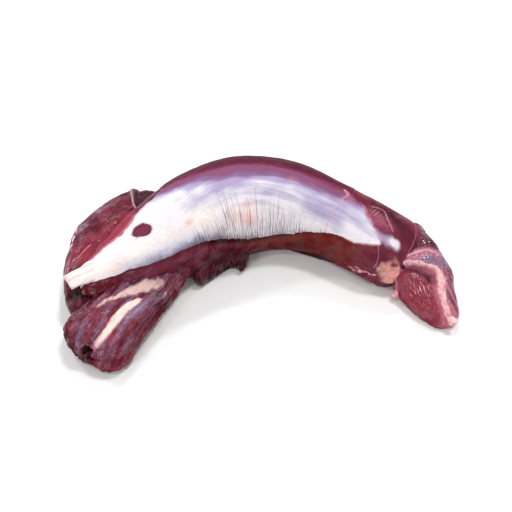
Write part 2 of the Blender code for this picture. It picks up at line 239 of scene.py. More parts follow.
def spaced(count, knots, density):
    """Places from 0 to 1, closer together where the density is high: the inverse of its running sum."""
    fine = np.linspace(0, 1, 4001)
    total = np.cumsum(np.interp(fine, knots, density))
    return np.interp(np.linspace(total[0], total[-1], count), total, fine)


def noise(places, size, seed, octaves=1):
    """Smooth random heights of about -1 to 1.

    Random slopes stand at the corners of cubes of the given size; a point blends the
    slopes of its cube with a fifth-power ease. Each octave halves the size and height.
    """
    draw = np.random.default_rng(seed)
    order = draw.permutation(256)
    slopes = draw.normal(size=(256, 3))
    slopes /= np.linalg.norm(slopes, axis=1, keepdims=True)
    total = 0.0
    for octave in range(octaves):
        at = places * (2 ** octave / size)
        cell = np.floor(at).astype(int)
        part = at - cell
        ease = part ** 3 * (part * (part * 6 - 15) + 10)
        for corner in itertools.product((0, 1), repeat=3):
            i, j, k = (cell + corner).transpose(2, 0, 1) if cell.ndim == 3 else (cell + corner).T
            slope = slopes[order[(order[(order[i & 255] + j) & 255] + k) & 255]]
            share = np.prod(np.where(corner, ease, 1 - ease), axis=-1)
            total = total + share * ((part - corner) * slope).sum(axis=-1) * 1.7 / 2 ** octave
    return total


def drawn(keys, seed):
    """One random share from 0 to 1 for each whole number, from a table that starts over at its end."""
    table = np.random.default_rng(seed).random(TABLE_SIZE)
    return table[np.asarray(keys, int) % TABLE_SIZE]


def run_of(stations):
    """Share of the way along a centreline of each station, and its length."""
    steps = np.hypot(*np.diff(np.asarray(stations)[:, :2], axis=0).T)
    run = np.concatenate([[0.0], np.cumsum(steps)])
    return run / run[-1], run[-1]


def loft(stations, share, degrees, reach, full):
    """Grid of points of a muscle. Each row is a closed egg-shaped section across the run: four
    half sizes about the widest line, joined by a superellipse, with a crown that may lean."""
    x, y, out, inn, top, low, mid, crown = spline(run_of(stations)[0], stations, share).T
    run = np.stack([np.gradient(x, share), np.gradient(y, share)], axis=1)
    run /= np.linalg.norm(run, axis=1, keepdims=True)
    front = np.clip(1 - share / reach[0], 0, 1)
    back = np.clip(1 - (1 - share) / reach[1], 0, 1)
    ends = np.sqrt(np.clip(1 - front ** 2, 0, 1) * np.clip(1 - back ** 2, 0, 1))[:, None]
    angle = np.radians(degrees)[None, :]
    side, rise = powered(np.cos(angle), full), powered(np.sin(angle), full)
    across = side * np.where(side > 0, out[:, None], inn[:, None])
    across = (across + crown[:, None] * np.clip(rise, 0, 1) * (1 - np.abs(side))) * ends
    up = rise * np.where(rise > 0, (top - mid)[:, None], (mid - low)[:, None]) * ends
    return SHIFT + np.stack(
        [x[:, None] - run[:, 1:] * across, y[:, None] + run[:, :1] * across, mid[:, None] + up], axis=2
    )


def outside(places, stations, full=0.9):
    """How far points stand outside a muscle, in metres: from the nearest place on its centreline,
    the superellipse radius of its section there, less one, times its smaller half size."""
    at = spline(run_of(stations)[0], stations, np.linspace(0, 1, 160))
    flat = places.reshape(-1, 3) - SHIFT
    gap = (flat[:, :1] - at[None, :, 0]) ** 2 + (flat[:, 1:2] - at[None, :, 1]) ** 2
    near = gap.argmin(axis=1)
    run = np.gradient(at[:, :2], axis=0)
    run = (run / np.linalg.norm(run, axis=1, keepdims=True))[near]
    x, y, out, inn, top, low, mid, crown = at[near].T
    away = flat[:, :2] - np.stack([x, y], axis=1)
    across = -away[:, 0] * run[:, 1] + away[:, 1] * run[:, 0]
    ahead = away[:, 0] * run[:, 0] + away[:, 1] * run[:, 1]
    up = flat[:, 2] - mid
    rise = np.clip(up / (top - mid), 0, 1)
    across = across - crown * rise * (1 - np.clip(np.abs(across) / out, 0, 1))
    wide, tall = np.where(across > 0, out, inn), np.where(up > 0, top - mid, mid - low)
    radius = (np.abs(across / wide) ** (2 / full) + np.abs(up / tall) ** (2 / full)) ** (full / 2)
    gap = (radius - 1) * np.minimum(wide, tall)
    return np.where(gap > 0, np.hypot(gap, ahead), gap).reshape(places.shape[:-1])


# ---- surfaces -------------------------------------------------------------------------------

class Skin:
    """A closed surface on a grid: rows along the run, columns round the section from the underside.

    Every point has two lengths in metres: `run` along the centreline and `girth` round the
    section, 0 at the crown and growing towards the inner side. Its masks say from 0 to 1 how much
    of a tissue, a cast of colour, painted shade and painted highlight is there; `belt` counts the
    bands above the silverskin's middle.
    """

    def __init__(self, points, share, degrees, length):
        self.points, self.share, self.degrees, self.length = points, share, degrees, length
        self.first = points.copy()
        self.masks = {}
        self.run = share[:, None] * length + 0 * degrees[None, :]
        steps = np.linalg.norm(np.diff(points, axis=1, append=points[:, :1]), axis=2)
        self.around = np.concatenate([np.zeros((len(share), 1)), np.cumsum(steps, axis=1)], axis=1)
        crown = np.argmin(np.abs(degrees - 90))
        self.around -= self.around[:, crown:crown + 1]
        self.girth = self.around[:, :-1]

    def facing(self):
        """Outward directions: across the steps round the section and the steps along the run."""
        aside = np.roll(self.points, -1, axis=1) - np.roll(self.points, 1, axis=1)
        facing = np.cross(aside, np.gradient(self.points, axis=0))
        size = np.linalg.norm(facing, axis=2, keepdims=True)
        return facing / np.maximum(size, 1e-12)

    def push(self, height):
        """Moves every point outwards by the given heights, and each end to the middle of its ring."""
        self.points = self.points + self.facing() * height[:, :, None]
        for end, ring in ((0, 1), (-1, -2)):
            tip = self.first[end].mean(axis=0) - self.first[ring].mean(axis=0)
            self.points[end] = self.points[ring].mean(axis=0) + tip
        return self

    def rest(self):
        """Flattens the surface where it lies on the table."""
        self.points[:, :, 2] = np.maximum(self.points[:, :, 2], 0.0)
        return self

    def read(self, grid, knots):
        """Values of a grid at (share, degrees) places, blended from the four points round each."""
        knots = np.asarray(knots, float)
        r = np.interp(knots[:, 0], self.share, np.arange(len(self.share)))
        c = np.interp(knots[:, 1], self.degrees, np.arange(len(self.degrees)))
        i = np.minimum(r.astype(int), len(self.share) - 2)
        j = np.minimum(c.astype(int), len(self.degrees) - 2)
        more = (slice(None),) + (None,) * (grid.ndim - 2)
        u, v = (r - i)[more], (c - j)[more]
        low = grid[i, j] * (1 - v) + grid[i, j + 1] * v
        return low * (1 - u) + (grid[i + 1, j] * (1 - v) + grid[i + 1, j + 1] * v) * u

    def path(self, knots, count=40, loop=False):
        """A smooth line through (share, degrees) knots, as run and girth."""
        knots = np.asarray(knots + knots[:1] if loop else knots, float)
        at = spline(np.linspace(0, 1, len(knots)), knots, np.linspace(0, 1, count))
        return np.stack([self.read(self.run, at), self.read(self.girth, at)], axis=1)

    def level(self, knots):
        """Girth, row by row, of a line that crosses every row once."""
        knots = np.asarray(knots, float)
        at = np.stack([self.share, np.interp(self.share, knots[:, 0], knots[:, 1])], axis=1)
        return self.read(self.girth, at)[:, None]

    def away(self, knots, loop=False):
        """Distance of every point from a line, and the share of the line it is nearest to.
        With loop, the line closes and the distance is negative inside it."""
        line = self.path(knots, loop=loop)
        best = np.full(self.run.shape, 1e9)
        along = np.zeros(self.run.shape)
        inner = np.zeros(self.run.shape, bool)
        for k, (a, b) in enumerate(zip(line[:-1], line[1:])):
            edge = b - a
            u = (self.run - a[0]) * edge[0] + (self.girth - a[1]) * edge[1]
            u = np.clip(u / max(edge @ edge, 1e-12), 0, 1)
            gap = np.hypot(self.run - a[0] - u * edge[0], self.girth - a[1] - u * edge[1])
            along = np.where(gap < best, (k + u) / (len(line) - 1), along)
            best = np.minimum(best, gap)
            if loop:
                cuts = (a[1] > self.girth) != (b[1] > self.girth)
                rise = np.where(edge[1] == 0, 1e-12, edge[1])
                inner ^= cuts & (self.run < a[0] + (self.girth - a[1]) * edge[0] / rise)
        return np.where(inner, -best, best), along

    def streaks(self, long, wide, seed, octaves=2):
        """Noise drawn out along the run, as muscle fibres are."""
        flat = np.stack([self.run / long, self.girth / wide, 0 * self.run], axis=2)
        return noise(flat, 1.0, seed, octaves)

    def furrows(self, long, wide, sharp, seed):
        """1 in the narrow valleys between bundles of fibres: where drawn-out noise passes zero."""
        return bell(self.streaks(long, wide, seed, 2), sharp)


def muscle_skin(
    stations, rows, cols, reach, full, crowding=0.4, knots=(0, 0.06, 0.94, 1), density=(5, 1, 1, 5),
):
    """The skin of a muscle, with rows and columns crowded where the shape turns or shows."""
    share = spaced(rows, knots, density)
    turn = np.linspace(0, 1, cols, endpoint=False)
    degrees = -90 + 360 * (turn + crowding * np.sin(2 * np.pi * turn) / (2 * np.pi))
    points = loft(stations, share, degrees, reach, full)
    return Skin(points, share, degrees, run_of(stations)[1])


def round_skin(centre, radii, turn, rows=90, cols=110):
    """The skin of an ellipsoid turned about Z, its rows rising from the lowest point."""
    share = np.linspace(0, 1, rows)
    degrees = np.linspace(-90, 270, cols, endpoint=False)
    lat, lon = np.pi * share[:, None], np.radians(degrees)[None, :]
    x = radii[0] * np.sin(lat) * np.cos(lon)
    y = radii[1] * np.sin(lat) * np.sin(lon)
    z = -radii[2] * np.cos(lat) + 0 * lon
    c, s = np.cos(turn), np.sin(turn)
    points = SHIFT + centre + np.stack([c * x - s * y, s * x + c * y, z], axis=2)
    return Skin(points, share, degrees, np.pi * radii[2])


def spot(skin, share, degrees, long, wide):
    """An oval patch on a skin, 1 in its middle and soft to its edge."""
    run, girth = skin.path(((share, degrees), (share, degrees)), count=2)[0]
    return np.exp(-((skin.run - run) / long) ** 2 - ((skin.girth - girth) / wide) ** 2)


def spots(skin, *rows):
    """Oval patches added up, one for each row: strength, share, degrees, length and width."""
    return sum(strength * spot(skin, *patch) for strength, *patch in rows)


def graded(share, *rows):
    """A value that changes along the run, from straight lines between (share, value) rows."""
    places, values = zip(*rows)
    return np.interp(share, places, values)


def folds(skin, up, pitch, reach, seed):
    """Narrow valleys across the run, as in a gathered sheath: the run divided by the pitch, with a
    little drift, has a valley at each whole number. Each fold draws its own depth, and how far
    it reaches up from the edge, between the two given heights."""
    flat = np.stack([skin.run / (3 * pitch), skin.girth / 0.012, 0 * skin.run], axis=2)
    phase = skin.run / pitch + 0.55 * noise(flat, 1.0, seed)
    index = np.rint(phase)
    height = reach[0] + (reach[1] - reach[0]) * drawn(index, seed) ** 1.1
    fade = step(height + 0.004, 0.3 * height, up) * step(-0.002, 0.0005, up)
    return bell(phase - index, 0.17) * (0.40 + 0.60 * drawn(index, seed + 1)) * fade


def bundles(places, heading, long, wide, sharp, seed):
    """1 in the valleys between bundles of fibres that all lie along one heading in the plane, so
    that neighbouring pieces share them: drawn-out noise in turned coordinates, where it is zero."""
    c, s = np.cos(heading), np.sin(heading)
    along = (c * places[..., 0] + s * places[..., 1]) / long
    across = (c * places[..., 1] - s * places[..., 0]) / wide
    return bell(noise(np.stack([along, across, places[..., 2] / wide], axis=-1), 1.0, seed, 2), sharp)


def dent(skin, place, heading, depth):
    """Presses an oval hollow into a skin and returns each point's radius in it, 1 at the rim."""
    centre, radii, turn = place
    away = skin.points - (SHIFT + np.array(centre))
    c, s = np.cos(turn), np.sin(turn)
    x = (c * away[..., 0] + s * away[..., 1]) / radii[0]
    y = (c * away[..., 1] - s * away[..., 0]) / radii[1]
    radius = np.sqrt(x ** 2 + y ** 2 + (away[..., 2] / radii[2]) ** 2)
    skin.points = skin.points + depth * step(1.0, 0.45, radius)[..., None] * np.array(heading)
    return radius


# ---- the shapes, muscle by muscle ---------------------------------------------------------------
# Masks of silverskin: silver is where it lies, belt its band; warm and blush tint it; shade
# paints blue shade along its lower edge, besides two grey-lilac patches; the crease mask paints
# shade into its folds and along that edge; pucker wrinkles it, with painted shade in the wrinkles;
# a highlight is painted near its end; nick, scratch and vein are marks on it and on the meat.
# Masks of meat: bright and russet tint it; violet tints it and, with pale fascia, paints sheen on
# the lumps in the groove; pink tints it and paints a sheen on the bare end; dark paints shade into
# creases, furrows, hollows, under rims and low by the card, besides darker patches of meat; lilac
# tints it with fascia and paints sheen on the upper side of the side lobe and round the highlight;
# fascia, fat, coral and sinew lie on it; flecks are short pale threads in a cut face. wet says
# how much juice lies there, from below 0, dry, to about 1, and stain how pink a lobe of fat is.

def web_tissue(places):
    """Masks and relief of the loose tissue in front of the tail, by place, so that the two pieces it
    lies on share its pleats: fascia that turns to coral fat towards the tail, inside a ragged oval."""
    away = (places - SHIFT - np.array(WEB_REACH[0])) / WEB_REACH[1]
    radius = np.linalg.norm(away, axis=2) + 0.30 * noise(places, 0.010, 111, 2)
    near = step(1.30, 0.55, radius)
    aside = away[..., 0] + 0.3 * noise(places, 0.012, 114)
    pleats = bundles(places, 0.5, 0.030, 0.0045, 0.35, 113)
    masks = {
        "fascia": 0.75 * near * step(-1.0, -0.1, aside) * (1 - 0.3 * pleats),
        "pink": 0.2 * near * step(-1.2, -0.4, aside),
        "fat": near * step(-0.3, 0.7, aside) * (1 - 0.2 * pleats),
        "coral": near * step(-0.9, 0.2, aside) * (0.70 + 0.30 * pleats),
    }
    return masks, -0.0004 * near * pleats


def sheath_belt(skin):
    """Which band of the silverskin each point is in: 0 at its lower edge, 1, 2 and 3 on the pale, the
    lilac and the mauve line, and 4 on the back. It is greyer towards the tail, and noise blurs it."""
    p, share, girth = skin.points, skin.share[:, None], skin.girth
    lines = [skin.level(line) for line in (SHEATH_LOW, BELT_PALE, BELT_LILAC, BELT_MAUVE)]
    belt = np.clip((lines[-1] - girth) / 0.030, 0, 1)
    for lower, upper in zip(lines[:-1], lines[1:]):
        belt = belt + np.clip((lower - girth) / np.maximum(lower - upper, 1e-5), 0, 1)
    greyer = graded(
        share, (0, 0), (0.58, 0), (0.67, 0.10), (0.74, 0.42), (0.80, 0.50), (0.88, 0.30), (1, 0.1),
    )
    belt += greyer * np.clip(1.1 - belt, 0, 1)
    belt += 0.25 * noise(p, 0.022, 6, 2) * step(0.2, 0.9, belt) * step(2.6, 1.6, belt)
    waver = 0.30 * noise(p, 0.050, 9) + 0.25 * skin.streaks(0.080, 0.010, 10)
    return belt + waver * step(0.1, 0.6, belt) * step(3.4, 2.6, belt)


def main_skin(sizes):
    """The long muscle: a smooth loft, raised where the silverskin lies on it, gathered into cross
    folds along the silverskin's lower edge, and cut through to the meat at the oval nick."""
    skin = muscle_skin(
        MAIN, 640, 150, (0.05, 0.07), 0.9, 0.55,
        (0, 0.015, 0.05, 0.22, 0.27, 0.76, 0.80, 0.95, 0.985, 1),
        (6, 3, 0.8, 0.8, 2.6, 2.6, 1.0, 1.1, 4, 7),
    )
    p, share, girth = skin.points, skin.share[:, None], skin.girth
    low, high = skin.level(SHEATH_LOW), skin.level(SHEATH_STOP)
    up, down = low - girth, girth - low
    head = step(0.34, 0.30, share)
    ragged = 0.0016 * noise(p, 0.006, 5, 2)
    soft_head = head * step(0.26, 0.22, share) * step(0.010, 0.004, np.abs(girth - high))
    soft = 0.0006 + 0.0020 * (soft_head + 2.5 * step(0.82, 0.88, share))
    sheath = np.minimum(up + 0.3 * ragged, girth - high + ragged)
    nick, _ = skin.away(NICK, loop=True)
    nick = nick + 0.3 * ragged
    scratch, scratch_t = skin.away(NICK_TAIL)
    trace, _ = skin.away(PINK_VEIN)
    bare, _ = skin.away(BARE_VEIN)
    low_vein, _ = skin.away(FOOT_VEIN)
    strip, highlight_t = skin.away(HIGHLIGHT_STRIP)
    end, _ = skin.away(END_LINE)
    lumps = noise(p, 0.007, 7, 2)
    web, web_relief = web_tissue(p)

    tall = 0.015 + 0.062 * graded(share, (0.26, 0.1), (0.42, 1), (0.52, 1), (0.66, 0.7), (0.76, 0.1))
    coarse = folds(skin, up, sizes.fold_pitch, (0.004, tall), 41)
    coarse *= graded(share, (0.22, 0), (0.29, 0.6), (0.40, 1), (0.64, 1), (0.74, 0.5), (0.80, 0))
    fine = folds(skin, up, 0.55 * sizes.fold_pitch, (0.003, 0.014), 43)
    fine *= graded(share, (0.18, 0), (0.25, 0.8), (0.34, 1), (0.66, 1), (0.76, 0.6), (0.82, 0))
    rungs = bell((skin.run / 0.0030) % 1 - 0.5, 0.20) * spot(skin, 0.876, 85, 0.010, 0.0065)
    ribs = np.abs(np.sin(np.pi * (skin.run / sizes.rib_pitch + 1.3 * noise(p, 0.016, 71)))) ** 0.6
    gathered = step(-0.4, 0.3, noise(p, 0.018, 75)) * step(0.0, 0.003, down)
    gathered *= graded(share, (0.26, 0), (0.31, 1), (0.50, 1), (0.57, 0))
    foot = step(0.0, 0.003, down) * step(0.5, 0.62, share)
    groove = step(0.20, 0.10, share) * step(0.0, 0.003, down)

    height = sizes.lump * (0.5 * noise(p, 0.035, 1) + 0.22 * noise(p, 0.010, 2, 2))
    height += sizes.sheath_thickness * step(-0.0010, 0.0006, sheath)
    height -= sizes.fold_depth * (coarse + 0.5 * fine)
    height += 0.00006 * skin.streaks(0.030, 0.0025, 3)
    height -= 0.0026 * bell(down - 0.0026, 0.0020) * step(0.05, 0.25, share) * step(0.93, 0.80, share)
    height += gathered * 0.0010 * (ribs - 0.5) + foot * 0.0009 * skin.streaks(0.05, 0.006, 8)
    height -= sizes.nick_depth * step(0.0004, -0.0008, nick)
    height += 0.0004 * bell(nick - 0.0008, 0.0008) - 0.0003 * bell(scratch, 0.0006)
    height += 0.0004 * (bell(trace, 0.0008) + bell(bare, 0.0008) + bell(low_vein, 0.0008)) + 0.0003 * rungs
    height += 0.0005 * bell(end, 0.0010) + web_relief + 0.0018 * groove * lumps

    outer = high - girth
    by_head = head * step(0.24, 0.20, share)
    # how strong the painted shadow just under the silverskin's edge is along the run
    under_edge_shadow = graded(share, (0.12, 0.2), (0.26, 0.4), (0.32, 1), (0.5, 1), (0.66, 0.7), (0.74, 0.3), (1, 0.1))
    # how strong the painted shade low on the flank is along the run
    under = graded(share, (0, 0.1), (0.10, 0.2), (0.2, 0.8), (0.5, 0.8), (0.7, 0.7), (0.85, 0.5), (1, 0.3))
    # how strong the painted blue shade at the silverskin's lower edge is along the run
    blue_shade = graded(share, (0.05, 0.1), (0.12, 0.6), (0.20, 1), (0.31, 0.8), (0.42, 0.1))
    # how strong the painted shade along the silverskin's lower edge is along the run
    hem = graded(
        share, (0.05, 0.1), (0.15, 0.7), (0.3, 0.9), (0.42, 1), (0.55, 0.5), (0.75, 0.3), (0.88, 0.1),
    )
    drawn_in = graded(share, (0.2, 0.25), (0.3, 1), (0.66, 1), (0.8, 0.3))
    rusty = graded(share, (0.05, 0.3), (0.2, 0.2), (0.42, 0.4), (0.55, 0.8), (0.9, 0.9), (0.95, 0.3))
    bluish = graded(share, (0.05, 0), (0.10, 0.8), (0.28, 0.8), (0.5, 0.4), (0.6, 0))
    # how strong the painted highlight is along that strip
    highlight_strength = graded(highlight_t, (0, 0.35), (0.3, 0.30), (0.6, 0.40), (0.9, 0))
    skin.masks = {
        "silver": step(-soft, soft, sheath) * step(-0.0002, 0.0004, nick),
        "belt": sheath_belt(skin),
        "warm": spots(
            skin, (0.9, 0.33, 130, 0.026, 0.012), (0.9, 0.48, 146, 0.026, 0.014),
            (0.9, 0.06, 108, 0.040, 0.014), (0.5, 0.20, 118, 0.03, 0.012),
        ),
        # painted blue shade where the silverskin turns under at its lower edge, and two grey-lilac patches
        "shade": step(0.015, 0.003, up) * blue_shade
        + spots(skin, (0.35, 0.39, 92, 0.035, 0.008), (0.45, 0.86, 112, 0.018, 0.007)),
        "pucker": step(tall + 0.006, 0.002, up) * drawn_in * step(0, 0.001, up),
        # painted shade in the valleys of the folds and along the silverskin's lower edge
        "crease_shade": coarse + 0.6 * fine + 0.9 * step(0.0080, 0.0, up) * hem,
        "blush": spots(
            skin, (0.8, 0.285, 128, 0.0070, 0.0040), (0.6, 0.50, 136, 0.010, 0.0016),
            (0.6, 0.497, 159, 0.0060, 0.0030), (0.6, 0.633, 99, 0.0090, 0.0030),
            (0.5, 0.80, 90, 0.0080, 0.0050), (0.5, 0.68, 96, 0.020, 0.0030),
            (0.5, 0.47, 148, 0.030, 0.012), (0.45, 0.09, 118, 0.016, 0.010),
        ) + 0.9 * head * bell(girth - high - 0.0002, 0.0020)
        + 1.1 * coarse * spot(skin, 0.51, 140, 0.034, 0.018),
        "vein": 0.8 * bell(bare, 0.0008) + 0.6 * bell(end, 0.0008) + 0.7 * bell(low_vein, 0.0009) + rungs
        + 0.75 * bell(trace, 0.0015) + 0.4 * spot(skin, 0.783, 80, 0.009, 0.005),
        "pink": 0.9 * by_head * step(0.0080, 0.0, outer) * step(-0.001, 0.001, outer) + web["pink"]
        # a painted sheen on the bare end
        + 0.55 * spot(skin, 0.890, 90, 0.024, 0.013) * step(-0.002, 0.002, outer)
        + 0.6 * step(0.0045, 0.0, np.abs(sheath)) * step(0.80, 0.85, share),
        "russet": step(0, 0.003, down) * rusty,
        "scratch": bell(nick - 0.0006, 0.0006) + bell(scratch, 0.0007) * (1 - scratch_t),
        "nick": step(0.0003, -0.0003, nick),
        # a painted highlight on the strip of silverskin at its end
        "painted_highlight": step(0.0065, 0.0, strip + ragged) * highlight_strength
        + bell(strip + 0.5 * ragged, 0.0042) * bell(highlight_t - 0.64, 0.20),
        "bright": by_head * step(0.0, 0.003, outer) + 0.5 * groove
        + 0.4 * step(0.0, 0.002, down) * step(0.74, 0.8, share),
        "violet": 0.95 * head * step(0.22, 0.245, share) * step(0.001, 0.003, outer)
        # on the lumps in the groove the violet is partly painted sheen of the wet lumps
        + 0.6 * bluish * step(0, 0.002, down) + 0.8 * groove * step(-0.1, 0.4, lumps)
        + 0.5 * step(0.84, 0.9, share) * step(0.0, 0.004, down)
        + 0.5 * step(0.80, 0.86, share) * step(0.003, 0.0, down),
        # painted shadow just under the silverskin's edge, painted shade low on the flank, between the
        # gathered ribs and in the tucked fold by the head, and a darker patch on the bare end
        "dark": 1.2 * under_edge_shadow * step(0.0, 0.0010, down) * step(0.0075, 0.002, down)
        + under * step(0.004, 0.013, down) * (0.8 + 0.4 * lumps) + 0.55 * gathered * (1 - ribs)
        + 0.8 * spot(skin, 0.910, 68, 0.036, 0.012) * step(0.0, 0.002, outer)
        + 0.9 * head * step(0.235, 0.26, share) * bell(outer - 0.003, 0.0025),
        "lilac": 0.6 * step(0.004, 0.0, np.abs(sheath)) * step(0.8, 0.84, share)
        # lilac round the painted highlight: painted sheen
        + 0.80 * step(0.0095, 0.001, strip + ragged) * step(1.0, 0.60, highlight_t),
        "fat": web["fat"],
        # fascia of the web, and pale fascia on the lumps in the groove that paints their wet sheen
        "fascia": web["fascia"] + 0.45 * groove * step(0.0, 0.5, lumps),
        "coral": web["coral"],
        "wet": 0.5 * step(0.0, 0.002, down) + 0.6 * groove + 0.3 * lumps - step(0.002, -0.001, nick)
        - 0.6 * step(0, 0.002, sheath),
    }
    return skin.push(height).rest()


def band_skin():
    """The flat sinew end of the silverskin: a sheet laid over the arch of the long muscle's sections,
    cut off square past its end, that thins and sinks into the silverskin further on."""
    rows, cols = 130, 96
    first, last = -0.020, 0.10
    at = np.concatenate([[first, first, -0.0195], np.linspace(-0.019, last, rows - 4), [last]])
    x, y, out, inn, top, _, mid, _ = spline(run_of(MAIN)[0], MAIN, at).T[:, :, None]
    ahead = np.stack([np.gradient(x[:, 0]), np.gradient(y[:, 0])], axis=1)
    ahead[:2], ahead[-2:] = ahead[3], ahead[-4]
    ahead /= np.linalg.norm(ahead, axis=1, keepdims=True)
    places = (first, 0.0, 0.04, last)
    lean, half, thick, lift = (np.interp(at, places, values)[:, None] for values in (
        (0.0034, 0.0028, -0.0012, -0.0060),
        (0.0102, 0.0110, 0.0106, 0.0080),
        (0.0022, 0.0018, 0.0012, 0.0004),
        (0.0006, 0.0008, 0.0004, -0.0030),
    ))
    half[[0, -1]], thick[[0, -1]] = 0.0, 0.0
    turn = np.linspace(-0.5 * np.pi, 1.5 * np.pi, cols, endpoint=False)
    side, rise = powered(np.cos(turn), 0.35)[None, :], powered(np.sin(turn), 0.5)[None, :]
    across = lean + half * side
    wide = np.maximum(np.where(across > 0, out, inn), 1.3 * (half + np.abs(lean)))
    z = mid + (top - mid) * (1 - np.abs(across / wide) ** 2.2) ** 0.45 + thick * rise + lift
    points = np.stack([x - ahead[:, 1:] * across, y + ahead[:, :1] * across, z], axis=2)
    share = (at - first) / np.ptp(at) + 1e-9 * np.arange(rows)     # never twice the same
    skin = Skin(SHIFT + points, share, np.degrees(turn), run_of(MAIN)[1] * np.ptp(at))
    height = 0.0003 * skin.streaks(0.03, 0.003, 51) + 0.0003 * noise(skin.points, 0.012, 52)
    frayed = noise(skin.points, 0.004, 54, 2)
    skin.masks = {
        "silver": 1.0,
        "belt": 0.3,
        "warm": 0.9 + 0.3 * noise(skin.points, 0.012, 53),
        "blush": 0.8 * step(0.06, 0.0, skin.share[:, None] + 0.02 * frayed)
        + step(0.55, 1.0, side + 0.3 * frayed) + 1.1 * step(0.0, 0.5, skin.streaks(0.03, 0.0026, 55)),
    }
    return skin.push(height)


def flap_skin(sizes):
    """The flap of the head: long shallow bundles, a thin pale ridge, and beyond it a tucked-in fold."""
    skin = muscle_skin(HEAD_FLAP, 220, 190, (0.14, 0.16), 0.95, crowding=0.3)
    p, share, degrees = skin.points, skin.share[:, None], skin.degrees[None, :]
    near = outside(p, MAIN)
    ridge, _ = skin.away(FLAP_RIDGE)
    vein, _ = skin.away(FLAP_VEIN)
    edge, _ = skin.away(FLAP_EDGE)
    lumps = noise(p, 0.009, 22, 2)
    line = np.array(FLAP_RIDGE)[::-1]
    beyond = np.interp(degrees, line[:, 1], line[:, 0]) - share
    fold = step(0.0, 0.020, beyond)
    low = step(0.80, 0.86, share)
    height = sizes.lump * (1.5 * noise(p, 0.030, 21) + 0.5 * lumps)
    height -= 0.0005 * skin.furrows(0.060, 0.007, 0.13, 23) + 0.0002 * skin.furrows(0.030, 0.0025, 0.16, 24)
    height += 0.0016 * bell(ridge, 0.0018) - 0.0045 * fold + 0.0012 * low * noise(p, 0.007, 28, 2)
    height += 0.0005 * bell(vein, 0.0008) + 0.0006 * bell(edge, 0.0025)
    beside = step(0.30, 0.42, share) * step(0.80, 0.74, share)
    skin.masks = {
        "fascia": 0.8 * bell(ridge, 0.0012) + 0.9 * bell(vein, 0.0006),
        "pink": 0.8 * step(0.0050, 0.0, near) * beside + 0.5 * bell(edge, 0.0020)
        + 0.15 * step(0.2, 0.6, lumps),
        "violet": 0.3 + 0.95 * fold + 0.55 * spot(skin, 0.55, 140, 0.05, 0.012),
        # painted shade low by the card and in the tucked-in fold, and darker patches at the lower end and
        # here and there
        "dark": 0.8 * step(0.008, 0.001, p[:, :, 2]) + 0.78 * fold
        + 0.75 * low * step(-0.3, 0.3, noise(p, 0.010, 29))
        + 0.35 * step(0.1, 0.5, noise(p, 0.02, 30)) * (1 - fold),
        "bright": 0.1 + 0.8 * beside * step(0.022, 0.004, near),
        "wet": 0.2 + step(0.3, 0.5, share) * step(-0.2, 0.3, noise(p, 0.012, 27, 2))
        - 0.6 * step(0.016, 0.004, p[:, :, 2]) - 0.7 * fold,
    }
    return skin.push(height).rest()


def lobe_relief(sizes, places, smooth):
    """Thick bundles with deep furrows along the side lobe, fainter where a film covers them."""
    coarse = bundles(places, LOBE_HEADING, 0.070, 0.0075, 0.22, 32)
    fine = bundles(places, LOBE_HEADING, 0.045, 0.0030, 0.28, 33)
    lumps = 1.2 * noise(places, 0.022, 31) + 0.4 * noise(places, 0.005, 34, 2)
    return sizes.lump * lumps - smooth * (0.0017 * coarse + 0.0009 * fine), np.maximum(coarse, 0.7 * fine)


